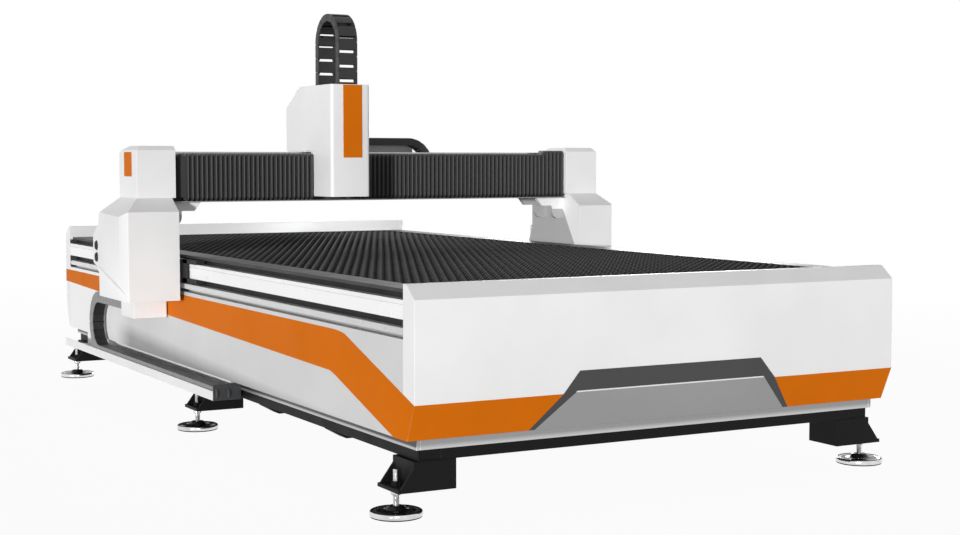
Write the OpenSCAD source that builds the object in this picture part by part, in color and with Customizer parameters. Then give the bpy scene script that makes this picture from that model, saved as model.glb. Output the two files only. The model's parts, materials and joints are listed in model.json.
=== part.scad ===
// CNC plasma cutting table: a welded bed with sheet covers, a gantry on side rails with a lifting torch
// head, and link chains that carry the cables.
// Millimetres, +Z up. Origin on the floor under the middle of the table, +X right, +Y to the rear.

/* [Table body] */
// Width over the side panels
table_w = 1900; // [1860:10:2200]
// Length over the end panels
table_l = 4050; // [4000:10:4400]
// Underside of the base frame above the floor
base_z = 180; // [172:1:200]
// Height of the base frame tubes
base_h = 70; // [60:1:90]
// Width of the frame tubes
tube_w = 80; // [74:1:90]
// Wall of the frame tubes
tube_t = 5; // [3:0.5:8]
// Width of the posts between base and side beams
post_w = 56; // [40:1:60]
// Height of the lip strip under the panels
lip_h = 33; // [20:1:45]
// Thickness of the lip strip
lip_t = 12; // [6:1:20]
// Lip set in from the side panels
lip_in = 37; // [30:1:44]
// Lip set in from the end panels
lip_end_in = 62; // [56:1:70]
// Height of the sloped skirt of the end panels
skirt_h = 116; // [90:1:140]
// Skirt set in at its foot
skirt_in = 51; // [30:1:54]
// Height of the upright face of the end panels
face_h = 319; // [300:1:340]
// Height of the bevel above the upright face
bevel_h = 45; // [30:1:60]
// Depth of the bevel
bevel_in = 55; // [40:1:65]
// Depth of the end panels
panel_d = 77; // [74:1:90]
// Height of the side panels
side_h = 310; // [300:1:320]
// Sheet thickness of panels and covers
sheet = 3; // [2:0.5:4]

/* [Bed and ways] */
// Rack above the side panel
rack_rise = 13; // [8:1:18]
// Rack height
rack_h = 20; // [16:1:24]
// Groove between rack and guide rail
groove_h = 27; // [24:1:34]
// Guide rail height
rail_h = 60; // [50:1:64]
// Guide rail depth
rail_d = 33; // [28:1:40]
// Guide rail set in from the side panel
rail_in = 2; // [1:0.5:4]
// Height of the side beams under the bed edge
side_beam_h = 140; // [136:1:150]
// Thickness of the bed edge strip
edge_t = 12; // [8:1:14]
// Bed edge over the guide rail
edge_over = 20; // [10:1:26]
// Slat tips above the side beams
slat_rise = 15; // [12:1:20]
// Slat height
slat_h = 110; // [90:1:115]
// Slat thickness
slat_t = 5; // [3:0.5:8]
// Slat spacing
slat_pitch = 72; // [66:1:90]
// Spacing of the slat teeth
tooth_pitch = 33.4; // [30:0.1:60]
// Depth of the slat teeth
tooth_h = 14; // [8:1:20]
// Height of the slat combs
comb_h = 60; // [50:1:70]
// Depth of the comb slots
slot_d = 45; // [30:1:46]

/* [Feet] */
// Foot stem set in from the side panel
foot_in = 10; // [8:1:14]
// Foot stem from the table end
foot_end = 149; // [140:1:170]
// Pad diameter
pad_d = 168; // [120:1:180]
// Pad height
pad_h = 22; // [16:1:26]
// Stem diameter
stem_d = 20; // [16:1:24]
// Foot plate above the floor
plate_z = 85; // [76:1:95]
// Foot plate thickness
plate_t = 12; // [8:1:16]
// Nut height
nut_h = 16; // [12:1:20]

/* [Gantry] */
// Front of the bellows from the table middle
gantry_y = 205; // [100:1:300]
// Clear height over the slat tips
gantry_clear = 218; // [210:1:240]
// Bellows height
bellows_h = 203; // [196:1:215]
// Fold spacing of the bellows
fold_pitch = 21; // [18:1:30]
// Fold depth of the bellows
fold_d = 14; // [8:1:18]
// Beam tube behind the bellows front
beam_set = 80; // [78:1:90]
// Beam tube depth
beam_d = 148; // [140:1:150]
// Beam tube wall
beam_t = 8; // [5:1:12]
// Gap between side panel and leg plate
leg_gap = 25; // [22:1:30]
// Leg plate thickness
leg_t = 12; // [10:1:14]
// Left leg cover width
leg_w = 240; // [230:1:260]
// Right leg cover width
leg_w_right = 206; // [200:1:260]
// Leg in front of the bellows
leg_front = 105; // [95:1:120]
// Leg behind the bellows front
leg_back = 370; // [360:1:380]
// Leg below the side panel top
leg_drop = 35; // [30:1:40]
// End cover width
cover_w = 167; // [160:1:175]
// End cover height
cover_h = 217; // [210:1:230]

/* [Torch head] */
// Middle of the head from the table middle
head_x = -237; // [-260:1:-200]
// Head width
head_w = 182; // [178:1:190]
// Head height
head_h = 481; // [478:1:500]
// Head in front of the bellows
head_front = 190; // [184:1:200]
// Head behind the bellows front
head_back = 317; // [314:1:322]
// Torch body diameter
torch_d = 40; // [30:1:44]
// Lift plate height
lift_h = 120; // [110:1:124]

/* [Link chains] */
// Long chain link height
ychain_h = 50; // [44:1:54]
// Long chain width
ychain_w = 60; // [50:1:62]
// Long chain link length
ychain_p = 50; // [44:1:56]
// Long chain bend radius to the link middle
ychain_r = 127.5; // [124:0.5:128]
// Beam chain link height
xchain_h = 34; // [28:1:36]
// Beam chain width
xchain_w = 66; // [50:1:66]
// Beam chain link length
xchain_p = 34; // [30:1:40]
// Beam chain bend radius to the link middle
xchain_r = 110; // [106:1:112]
// Head chain link height
zchain_h = 32; // [28:1:34]
// Head chain width
zchain_w = 90; // [76:1:92]
// Head chain link length
zchain_p = 58; // [52:1:66]
// Head chain bend radius to the link middle
zchain_r = 111; // [108:1:114]
// Head chain bend above the head
zchain_rise = 186; // [175:1:195]

/* [Hidden] */
$fn = 48;
// overrun of cuts, the gaps of sliding and turning pieces, and the seam left at joined members
cut = 1;
slide_gap = 0.3;
turn_gap = 0.05;
link_gap = 0.6;
seam = 0.5;
hx = table_w / 2;
hy = table_l / 2;
// heights of the table, from the floor up
skirt_z = base_z + base_h;
lip_z = skirt_z - lip_h;
knee_z = skirt_z + skirt_h;
face_z = knee_z + face_h;
panel_z = face_z + bevel_h;
rear_rise = 37;
side_z = skirt_z + side_h;
rack_z = side_z + rack_rise;
rail_z = rack_z + rack_h + groove_h;
rail_top = rail_z + rail_h;
side_beam_z = side_z + side_beam_h;
slat_z = side_beam_z + slat_rise;
slat_low = slat_z - slat_h;
// widths of the table, from the side panel in
rail_x = hx - rail_in;
beam_x = rail_x - rail_d;
beam_in_x = beam_x - tube_w;
lip_x = hx - lip_in;
lip_y = hy - lip_end_in;
base_x = lip_x - lip_t;
base_y = lip_y - lip_t;
base_in_x = base_x - tube_w;
post_x = (beam_in_x + base_x) / 2;
in_y = hy - panel_d;
way_gap = 2;
way_y = in_y - way_gap;
bays = [-2, -1, 0, 1, 2];
bay = (base_y - tube_w / 2) / 2;
post_bay = (way_y - post_w / 2) / 2;
side_flange_x = post_x + post_w / 2 + seam;
slag_x = post_x - post_w / 2 - seam;
slag_wall = 60;
bearer_h = 40;
bearer_w = 44;
line_h = 3;
line_d = 2;
line_down = 13;
// slats and the combs that hold them
comb_t = 10;
comb_z = slat_low - comb_h + slot_d;
comb_top = comb_z + comb_h;
slat_x = beam_in_x - cut;
slats_n = floor((2 * way_y - slat_pitch) / slat_pitch);
slat_y0 = -slat_pitch * (slats_n - 1) / 2;
teeth_n = floor(2 * slat_x / tooth_pitch);
teeth_p = 2 * slat_x / teeth_n;
slot_w = slat_t + 2 * slide_gap;
end_strip = 26;
// cross skids under the base frame
skid_h = 34;
skid_w = 60;
skid_taper = 60;
// feet and their brackets
foot_x = hx - foot_in;
foot_y = hy - foot_end;
foot_ys = [-foot_y, 0, foot_y];
bracket_gap = 25;
bracket_w = 147;
bracket_l = 2 * (base_y - foot_y);
bracket_t = 8;
bracket_x = foot_x - bracket_gap;
plate_reach = 29;
gusset_t = 8;
gusset_rise = 62;
gusset_tip = 8;
nut_r = 17;
hex_sides = 6;
stem_r = stem_d / 2;
stem_over = 36;
stem_top = plate_z + plate_t + nut_h + stem_over;
pad_edge = 5;
pad_cap_r = 30;
pad_cap_h = 14;
// trim of the end and side panels
trim_t = 2;
skin_t = 1.2;
inset_knee_x = 362;
inset_foot_x = 522;
inset_rise = 71;
inner_knee_x = 372;
inner_foot_x = 500;
inner_rise = 7;
stripe_down = 15;
stripe_z = side_z - stripe_down;
stripe_rear_h = 61;
stripe_slope = 0.0237;
stripe_knee = 515;
stripe_knee_drop = 7;
stripe_half_drop = 2;
stripe_low_knee = 544;
stripe_low_drop = 24;
stripe_low_half = 9;
stripe_low_front = 144;
stripe_round = 90;
// long chain, its tray and its bracket on the left leg
tray_w = 114;
tray_x = lip_x + tray_w;
tray_h = 37;
tray_hook = 63;
tray_y0 = -438;
tray_y1 = 1760;
ychain_clear = 2;
ychain_x = tray_x - sheet - ychain_clear;
ychain_in = ychain_x - ychain_w;
ychain_z = base_z + sheet + ychain_h / 2;
ychain_top = ychain_z + 2 * ychain_r;
ychain_y = 1180;
ybend_n = 8;
yup_in = 170;
yup_y = gantry_y + yup_in;
yup_n = floor((ychain_y - yup_y) / ychain_p);
yup_p = (ychain_y - yup_y) / yup_n;
ylow_n = floor((ychain_y - tray_y0) / ychain_p);
ylow_p = (ychain_y - tray_y0) / ylow_n;
hanger_front = 130;
hanger_back = 317;
hanger_w = 79;
hanger_y0 = gantry_y + hanger_front;
hanger_y1 = gantry_y + hanger_back;
hanger_z = ychain_top - ychain_h / 2 - sheet;
hanger_x = ychain_x + hanger_w;
// gantry beam
bellows_z = slat_z + gantry_clear;
bellows_top = bellows_z + bellows_h;
bellows_t = 3;
stack_n = 5;
stack_h = 15;
beam_y = gantry_y + beam_set;
beam_y1 = beam_y + beam_d;
beam_low = 7;
beam_top = bellows_top - beam_low;
ledge_t = 4;
ledge_set = 3;
ledge_z = bellows_z - ledge_t;
// legs
leg_x = hx + leg_gap;
leg_out = leg_x + leg_w;
leg_out_right = leg_x + leg_w_right;
leg_y0 = gantry_y - leg_front;
leg_y1 = gantry_y + leg_back;
leg_z = side_z - leg_drop;
leg_rise = 15;
leg_top = bellows_z + leg_rise;
leg_front_x = 25;
leg_front_y = 50;
leg_rear_x = 10;
leg_rear_y = 163;
leg_step = 18;
leg_step_h = 30;
leg_step_z = 53;
leg_step_tilt = 12.7;
leg_peak_x = 20;
leg_peak_h = 190;
leg_peak_z = 61;
leg_peak_tilt = -17;
leg_shoulder = 74;
leg_front_shoulder = 55;
leg_rear_top = 68;
leg_rear_mid = 119;
leg_rear_high = 166;
leg_rear_low = 135;
leg_rear_foot = 100;
leg_rear_set = 95;
leg_foot_set = 60;
leg_plate_gap = 9;
leg_plate_z = rack_z + rack_h + leg_plate_gap;
leg_frame_x = leg_x + leg_t;
leg_frame_low = 250;
leg_frame_high = 168;
leg_frame_rear = 40;
// end covers
cover_set = 17;
cover_front = 15;
cover_cham = 18;
cover_rear_y = 90;
cover_rear_z = 26;
cover_x0 = leg_x - cover_set;
cover_x1 = cover_x0 + cover_w;
cover_y0 = gantry_y - cover_front;
cover_y1 = beam_y1 + sheet + seam;
cover_z1 = leg_top + cover_h;
badge_t = 2;
end_badge_y = gantry_y + leg_front;
end_badge_l = 104;
end_badge_h = 102;
end_badge_rise = 90;
end_badge_z = leg_top + end_badge_rise;
// corner gussets under the beam and grommets in the leg covers
corner_w = 146;
corner_h = 100;
corner_nose = 30;
corner_flat = 56;
corner_step = 38;
corner_r = 36;
corner_in = 40;
corner_t = 26;
grommet_r = 22;
grommet_l = 18;
grommet_low = 167;
grommet_apart = 50;
grommet_in = 72;
grommet_y = leg_y1 - grommet_in;
grommet_zs = [leg_z + grommet_low, leg_z + grommet_low + grommet_apart];
// sliders on the guide rails
slider_l = 96;
slider_arm = 14;
slider_reach = 26;
slider_over = 18;
slider_end = 58;
slider_ys = [leg_y0 + slider_end, leg_y1 - slider_end];
// racks and pinions
tooth_m = 4;
tooth_space = PI * tooth_m;
tooth_add = 4;
tooth_ded = 5;
tooth_lash = 0.9;
tooth_slope = 0.364;
tooth_half = tooth_space / 4 - tooth_lash / 2;
tooth_tip = tooth_half - tooth_add * tooth_slope;
tooth_root = tooth_half + tooth_ded * tooth_slope;
gear_tip = 1.1;
gear_root = 3.4;
rack_sections = 4;
rack_back = hx - tooth_add - beam_x;
pinion_n = 36;
pinion_r = tooth_m * pinion_n / 2;
pinion_over = 3;
pinion_x = hx - tooth_add + pinion_r;
pinion_y = (leg_y0 + leg_y1) / 2;
rack_first = ceil((-way_y - pinion_y) / tooth_space);
rack_last = floor((way_y - pinion_y) / tooth_space);
rack_n = floor((rack_last - rack_first) / rack_sections);
shaft_r = 12;
motor_w = 58;
motor_plate_w = 92;
motor_plate_t = 12;
gearbox_h = 84;
motor_h = 140;
// guides, rack and drive of the head across the beam
beam_rail_h = 20;
beam_rail_t = 18;
beam_rail_low = 45;
beam_rail_apart = 114;
beam_rail_zs = [bellows_z + beam_rail_low, bellows_z + beam_rail_low + beam_rail_apart];
beam_rail_end = 6;
beam_rail_x = cover_x0 - beam_rail_end;
beam_rack_h = 13;
beam_rack_set = 15;
beam_rack_d = 25;
beam_rack_y = beam_y + beam_rack_set + beam_rack_d;
beam_rack_first = ceil((-beam_rail_x - head_x) / tooth_space);
beam_rack_n = floor((beam_rail_x - head_x) / tooth_space) - beam_rack_first;
cross_n = 16;
cross_r = tooth_m * cross_n / 2;
cross_y = beam_rack_y + cross_r;
cross_shaft_r = 8;
cross_w = 70;
cross_gear_h = 60;
cross_motor_h = 115;
cross_top_gap = 2;
// head cover
head_x0 = head_x - head_w / 2;
head_x1 = head_x + head_w / 2;
head_y0 = gantry_y - head_front;
head_y1 = gantry_y + head_back;
head_up = 16;
head_z0 = bellows_z + head_up;
head_z1 = head_z0 + head_h;
head_over = 12;
head_back_z = bellows_top + head_over;
head_back_gap = 2;
head_cham_y = 157;
head_cham_h = 90;
head_round = 14;
round_steps = [0:15:90];
badge_left = 35;
badge_right = 53;
badge_h = 311;
badge_down = 2;
slot_gap = 3;
// saddle
saddle_half = head_w / 2 - sheet;
saddle_front = 20;
saddle_back = 40;
saddle_y0 = gantry_y - saddle_front;
saddle_y1 = gantry_y + saddle_back;
saddle_z0 = bellows_z + head_up + cut;
saddle_lift = 2;
saddle_t = 12;
saddle_low = beam_top + beam_rack_h + saddle_lift;
saddle_top = saddle_low + saddle_t;
cross_top = saddle_top + cross_gear_h + cross_motor_h;
runner_d = 32;
runner_h = 54;
runner_l = 70;
// lift axis
lift_base_t = 28;
lift_base_w = 140;
lift_base_up = 12;
lift_base_z = saddle_z0 + lift_base_up;
lift_base_down = 120;
lift_base_top = head_z1 - lift_base_down;
lift_base_y = saddle_y0 - lift_base_t;
lift_rail_w = 15;
lift_rail_t = 14;
lift_rail_off = 48;
lift_block_w = 30;
lift_block_d = 32;
lift_block_gap = 4;
lift_block_in = 5;
lift_plate_w = 124;
lift_plate_t = 16;
lift_plate_y = lift_base_y - lift_block_gap - lift_block_d;
lift_down = 8;
lift_top = lift_base_top - lift_down;
lift_z = lift_top - lift_h;
screw_r = 8;
screw_set = 20;
screw_y = lift_base_y - screw_set;
screw_foot_w = 40;
screw_foot_h = 12;
nut_w = 34;
nut_l = 50;
lift_motor_w = 54;
lift_motor_h = 90;
lift_mount_t = 12;
// torch
torch_r = torch_d / 2;
torch_set = 43;
torch_y = lift_plate_y - lift_plate_t - torch_set;
torch_up = 6;
torch_z = head_z0 + torch_up;
torch_tip_r = 4;
torch_nozzle_r = 9;
torch_nozzle_h = 12;
torch_cone_h = 34;
torch_l = 322;
torch_cap_h = 12;
clamp_wall = 11;
clamp_h = 44;
clamp_up = 20;
// head chain
zchain_off = 16;
zchain_x = head_x + zchain_off + zchain_w / 2;
zchain_back = 2;
zchain_y = gantry_y - zchain_back;
zchain_z = head_z1 + zchain_rise;
zchain_front = zchain_y - zchain_r;
zchain_rear = zchain_y + zchain_r;
zbend_n = 6;
zfront_n = floor((zchain_z - lift_top) / zchain_p);
zfront_p = (zchain_z - lift_top) / zfront_n;
zrear_down = 58;
zrear_clear = 4;
zrear_z = max(head_z1 - zrear_down, cross_top + zrear_clear);
zrear_n = floor((zchain_z - zrear_z) / zchain_p);
zrear_p = (zchain_z - zrear_z) / zrear_n;
ztab_t = 12;
zpost_w = 20;
// beam chain
xchain_rise = 56;
xchain_z = bellows_top + xchain_rise;
xchain_low = xchain_z - 2 * xchain_r - xchain_h / 2;
xchain_gap = 15;
xchain_y = beam_y1 + xchain_gap;
xchain_x = 252;
xbend_n = 11;
xup_in = 60;
xup_x = head_x - xup_in;
xup_n = floor((xchain_x - xup_x) / xchain_p);
xup_p = (xchain_x - xup_x) / xup_n;
xlow_x = -50;
xlow_n = floor((xchain_x - xlow_x) / xchain_p);
xlow_p = (xchain_x - xlow_x) / xlow_n;
xtab_l = 40;
xtray_gap = 6;
xtray_y = head_y1 + xtray_gap;
xtray_x0 = -62;
xtray_x1 = 880;
xtray_wall = 34;
xtray_back_x = 310;
xtray_back_down = 8;
// link shares
link_side_share = 0.1;
link_bar_share = 0.62;
link_bar_t = 5;

white = [0.94, 0.94, 0.93];
orange = [0.83, 0.42, 0.08];
dark = [0.12, 0.12, 0.13];
grey = [0.58, 0.58, 0.59];
mid_grey = [0.30, 0.30, 0.31];
steel = [0.72, 0.73, 0.75];

// a box between two corners
module span(a, b) {
    translate(a) cube(b - a);
}

// an outline in y and z carried along x
module along_x(x0, x1, pts) {
    translate([x0, 0, 0]) rotate([90, 0, 90]) linear_extrude(x1 - x0) polygon(pts);
}

// an outline in x and z carried along y
module along_y(y0, y1, pts) {
    translate([0, y1, 0]) rotate([90, 0, 0]) linear_extrude(y1 - y0) polygon(pts);
}

// an outline in x and y carried up z
module along_z(z0, z1, pts) {
    translate([0, 0, z0]) linear_extrude(z1 - z0) polygon(pts);
}

// the same piece on the right and on the left
module both() {
    children();
    mirror([1, 0, 0]) children();
}

// the same piece at the front and at the rear
module ends() {
    children();
    mirror([0, 1, 0]) children();
}

// a box tube along one axis: 0 is x, 1 is y, 2 is z
module tube(a, b, axis, wall) {
    inset = [for (k = [0:2]) k == axis ? -cut : wall];
    difference() {
        span(a, b);
        span(a + inset, b - inset);
    }
}

module base_frame() {
    color(dark) {
        both() tube([base_in_x, -base_y, base_z], [base_x, base_y, skirt_z], 1, tube_t);
        for (k = bays) {
            y = k * bay;
            tube([seam - base_in_x, y - tube_w / 2, base_z],
                 [base_in_x - seam, y + tube_w / 2, skirt_z], 0, tube_t);
        }
        for (k = [-2, -1, 1, 2]) {
            y = k * foot_y / 3;
            along_y(y - skid_w / 2, y + skid_w / 2, [
                [-base_x, base_z - seam], [skid_taper - base_x, base_z - skid_h],
                [base_x - skid_taper, base_z - skid_h], [base_x, base_z - seam]
            ]);
        }
    }
}

module foot_brackets() {
    top = plate_z + plate_t;
    color(dark) both() for (y = foot_ys) {
        difference() {
            union() {
                span([bracket_x - bracket_w, y - bracket_l / 2, plate_z],
                     [bracket_x, y + bracket_l / 2, base_z]);
                span([bracket_x - cut, y - bracket_l / 2, plate_z],
                     [foot_x + plate_reach, y + bracket_l / 2, top]);
                for (s = [-1, 1]) {
                    g = y + s * (bracket_l - gusset_t) / 2;
                    along_y(g - gusset_t / 2, g + gusset_t / 2, [
                        [bracket_x - cut, top - cut], [foot_x + plate_reach - gusset_tip, top - cut],
                        [foot_x + plate_reach - gusset_tip, top], [bracket_x, top + gusset_rise],
                        [bracket_x - cut, top + gusset_rise]
                    ]);
                }
            }
            span([bracket_x - bracket_w + bracket_t, y - bracket_l / 2 + bracket_t, plate_z - cut],
                 [bracket_x - bracket_t, y + bracket_l / 2 - bracket_t, base_z - bracket_t]);
            translate([foot_x, y, plate_z - cut]) cylinder(r = stem_r + slide_gap, h = plate_t + 2 * cut);
        }
        translate([foot_x, y, top]) difference() {
            cylinder(r = nut_r, h = nut_h, $fn = hex_sides);
            translate([0, 0, -cut]) cylinder(r = stem_r + slide_gap, h = nut_h + 2 * cut);
        }
    }
}

// levelling foot: pad, stem and the nut that carries the plate
module foot(side, row) {
    color(steel) translate([side * foot_x, row * foot_y, 0]) {
        rotate_extrude() polygon([
            [0, 0], [pad_d / 2, 0], [pad_d / 2, pad_h - pad_edge], [pad_d / 2 - pad_edge, pad_h],
            [pad_cap_r, pad_h + pad_edge], [pad_cap_r, pad_h + pad_cap_h], [stem_r, pad_h + pad_cap_h],
            [stem_r, stem_top], [0, stem_top]
        ]);
        translate([0, 0, plate_z - nut_h]) cylinder(r = nut_r, h = nut_h, $fn = hex_sides);
    }
}

module foot_front_left() { foot(-1, -1); }

module foot_front_right() { foot(1, -1); }

module foot_middle_left() { foot(-1, 0); }

module foot_middle_right() { foot(1, 0); }

module foot_rear_left() { foot(-1, 1); }

module foot_rear_right() { foot(1, 1); }

module bed_frame() {
    color(dark) {
        slat_combs();
        both() tube([beam_in_x, -way_y, side_z], [beam_x, way_y, side_beam_z], 1, tube_t);
        for (k = bays) {
            y = k * post_bay;
            both() tube([post_x - post_w / 2, y - post_w / 2, skirt_z],
                        [post_x + post_w / 2, y + post_w / 2, side_z - seam], 2, tube_t);
            tube([seam - beam_in_x, y - bearer_w / 2, comb_z - bearer_h],
                 [beam_in_x - seam, y + bearer_w / 2, comb_z - seam], 0, tube_t);
        }
    }
}

module slag_tray() {
    low = skirt_z + sheet + seam;
    top = skirt_z + slag_wall;
    end_x = slag_x - sheet - seam;
    color(mid_grey) {
        span([-slag_x, -way_y, skirt_z], [slag_x, way_y, skirt_z + sheet]);
        both() span([slag_x - sheet, -way_y, low], [slag_x, way_y, top]);
        ends() span([-end_x, -way_y, low], [end_x, sheet - way_y, top]);
    }
}

module skirt_lip() {
    color(steel) {
        both() span([base_x, -lip_y, lip_z], [lip_x, lip_y, skirt_z]);
        ends() span([seam - base_x, -lip_y, lip_z], [base_x - seam, -base_y, skirt_z]);
    }
}

// end panel: bevelled top, upright face and skirt sloping in, open to the bed
module end_panel(rise, wall_y) {
    top = panel_z + rise;
    color(white) difference() {
        along_x(-hx, hx, [
            [-in_y, skirt_z], [skirt_in - hy, skirt_z], [-hy, knee_z], [-hy, face_z + rise],
            [bevel_in - hy, top], [-in_y, top]
        ]);
        along_x(sheet - hx, hx - sheet, [
            [cut - in_y, skirt_z + sheet], [skirt_in + sheet - hy, skirt_z + sheet],
            [sheet - hy, knee_z], [sheet - hy, face_z + rise - sheet],
            [bevel_in - hy, top - sheet], [wall_y, top - sheet],
            [wall_y, side_beam_z], [cut - in_y, side_beam_z]
        ]);
    }
}

module front_panel() { end_panel(0, cut - in_y); }

module rear_panel() { mirror([0, 1, 0]) end_panel(rear_rise, -in_y - sheet); }

module side_panels() {
    color(white) both() {
        span([hx - sheet, -in_y, skirt_z], [hx, in_y, side_z]);
        span([base_x, -in_y, skirt_z], [hx - sheet, in_y, skirt_z + sheet]);
        span([side_flange_x, -in_y, side_z - sheet], [hx - sheet, in_y, side_z]);
    }
}

// lower edge of the side stripe at a distance from the front
function stripe_low(d) = stripe_z - stripe_rear_h - stripe_slope * (table_l - d);

module side_stripes() {
    mid = stripe_round / 2;
    color(orange) both() along_x(hx, hx + skin_t, [
        [-hy, knee_z], [skirt_in - hy, skirt_z], [stripe_low_front - hy, skirt_z],
        [stripe_low_knee - hy, stripe_low(stripe_low_knee) - stripe_low_drop],
        [stripe_low_knee + mid - hy, stripe_low(stripe_low_knee) - stripe_low_half],
        [stripe_low_knee + stripe_round - hy, stripe_low(stripe_low_knee + stripe_round)],
        [hy, stripe_low(table_l)], [hy, stripe_z], [stripe_knee + stripe_round - hy, stripe_z],
        [stripe_knee + mid - hy, stripe_z - stripe_half_drop], [stripe_knee - hy, stripe_z - stripe_knee_drop]
    ]);
}

// a skin on the front of the end panel, from the skirt foot up to a height
module end_skin(t, z1) {
    along_x(-hx, hx, [
        [skirt_in - hy, skirt_z], [skirt_in - hy - t, skirt_z], [-hy - t, knee_z],
        [-hy - t, z1], [-hy, z1], [-hy, knee_z]
    ]);
}

// the trapezoid of the inset, carried through the front
module inset_cut(knee_x, foot_x, rise) {
    along_y(-hy - panel_d, -in_y, [
        [-foot_x, skirt_z], [-knee_x, knee_z + rise], [knee_x, knee_z + rise], [foot_x, skirt_z]
    ]);
}

module end_trim() {
    color(orange) {
        difference() {
            along_x(-hx, hx, [
                [skirt_in - hy, skirt_z], [skirt_in - hy - skin_t, skirt_z],
                [-hy - skin_t, knee_z], [-hy, knee_z]
            ]);
            inset_cut(inset_knee_x, inset_foot_x, inset_rise);
        }
        span([-hx, hy, stripe_z - stripe_rear_h], [hx, hy + trim_t, stripe_z]);
    }
}

module inset_frame() {
    color(mid_grey) difference() {
        intersection() {
            end_skin(skin_t, knee_z + inset_rise);
            inset_cut(inset_knee_x, inset_foot_x, inset_rise);
        }
        inset_cut(inner_knee_x, inner_foot_x, inner_rise);
    }
}

module inset_panel() {
    color(grey) intersection() {
        end_skin(trim_t, knee_z + inset_rise);
        inset_cut(inner_knee_x, inner_foot_x, inner_rise);
    }
}

module guide_rails() {
    line = rail_top - line_down;
    color(white) both() along_y(-way_y, way_y, [
        [beam_x, rail_z], [rail_x, rail_z], [rail_x, line - line_h], [rail_x - line_d, line - line_h],
        [rail_x - line_d, line], [rail_x, line], [rail_x, rail_top], [beam_x, rail_top]
    ]);
}

// a rack of n teeth along +x with the teeth toward +y and the pitch line at y zero
module rack_bar(n, back, h) {
    x1 = n * tooth_space - seam / 2;
    teeth = [for (i = [0:n - 1], c = [(i + 1 / 2) * tooth_space]) each [
        [c - tooth_root, -tooth_ded], [c - tooth_tip, tooth_add],
        [c + tooth_tip, tooth_add], [c + tooth_root, -tooth_ded]
    ]];
    linear_extrude(h) polygon(concat(
        [[x1, -back], [seam / 2, -back], [seam / 2, -tooth_ded]], teeth, [[x1, -tooth_ded]]
    ));
}

module drive_racks() {
    color(steel) both() for (k = [0:rack_sections - 1]) {
        y = pinion_y + (rack_first + (k + 1) * rack_n) * tooth_space;
        translate([hx - tooth_add, y, rack_z]) rotate([0, 0, -90]) rack_bar(rack_n, rack_back, rack_h);
    }
}

// a spur gear with a tooth on the +x axis
module gear(n, h) {
    r = tooth_m * n / 2;
    tip = r + tooth_add;
    root = r - tooth_ded;
    tip_a = gear_tip / tip * 180 / PI;
    root_a = gear_root / root * 180 / PI;
    linear_extrude(h) polygon([for (i = [0:n - 1], a = [360 * i / n]) each [
        root * [cos(a - root_a), sin(a - root_a)], tip * [cos(a - tip_a), sin(a - tip_a)],
        tip * [cos(a + tip_a), sin(a + tip_a)], root * [cos(a + root_a), sin(a + root_a)]
    ]]);
}

module drive_pinion() {
    low = rack_z - pinion_over;
    color(steel) translate([pinion_x, pinion_y, low]) {
        gear(pinion_n, rack_h + 2 * pinion_over);
        cylinder(r = shaft_r, h = leg_plate_z + motor_plate_t - low - slide_gap);
    }
}

module pinion_right() { drive_pinion(); }

module pinion_left() { mirror([1, 0, 0]) drive_pinion(); }

module bed_edges() {
    color(dark) {
        both() span([beam_in_x, -way_y, side_beam_z], [beam_x + edge_over, way_y, side_beam_z + edge_t]);
        ends() span([seam - beam_in_x, -way_y, side_beam_z],
                    [beam_in_x - seam, end_strip - way_y, side_beam_z + edge_t]);
    }
}

module slats() {
    teeth = [for (i = [0:teeth_n - 1]) each [
        [i * teeth_p - slat_x, slat_z - tooth_h], [(i + 1 / 2) * teeth_p - slat_x, slat_z]
    ]];
    outline = concat([[slat_x, slat_low], [-slat_x, slat_low]], teeth, [[slat_x, slat_z - tooth_h]]);
    color(mid_grey) for (i = [0:slats_n - 1]) {
        y = slat_y0 + i * slat_pitch;
        along_y(y - slat_t / 2, y + slat_t / 2, outline);
    }
}

module slat_combs() {
    slots = [for (i = [0:slats_n - 1], y = [slat_y0 + i * slat_pitch]) each [
        [y - slot_w / 2, comb_top], [y - slot_w / 2, slat_low],
        [y + slot_w / 2, slat_low], [y + slot_w / 2, comb_top]
    ]];
    outline = concat([[way_y, comb_z], [-way_y, comb_z], [-way_y, comb_top]], slots, [[way_y, comb_top]]);
    both() along_x(beam_in_x - comb_t, beam_in_x - seam, outline);
    along_x(-comb_t / 2, comb_t / 2, outline);
}

module cable_tray() {
    color(white) {
        span([-tray_x, tray_y0, base_z], [-lip_x, tray_y1, base_z + sheet]);
        span([-tray_x, tray_y0, base_z + sheet], [sheet - tray_x, tray_y1, base_z + tray_h]);
        span([-lip_x - sheet, tray_y0, base_z + sheet], [-lip_x, tray_y1, base_z + tray_hook]);
        span([-tray_x, tray_y0 - sheet, base_z], [-lip_x, tray_y0, base_z + tray_hook]);
    }
}

// one chain link about its middle: length along y, width from x zero toward -x, the bend's outside up
module chain_link(low_l, top_l, w, h) {
    side = link_side_share * w;
    bar = link_bar_share * low_l;
    outline = [[-low_l / 2, -h / 2], [low_l / 2, -h / 2], [top_l / 2, h / 2], [-top_l / 2, h / 2]];
    along_x(-side, 0, outline);
    along_x(-w, side - w, outline);
    for (z = [-h / 2, h / 2 - link_bar_t]) {
        span([side - w - turn_gap, -bar / 2, z], [turn_gap - side, bar / 2, z + link_bar_t]);
    }
}

// links in a straight run along +y
module chain_run(n, p, w, h) {
    for (i = [0:n - 1]) {
        translate([0, (i + 1 / 2) * p, 0]) chain_link(p - link_gap, p - link_gap, w, h);
    }
}

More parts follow.
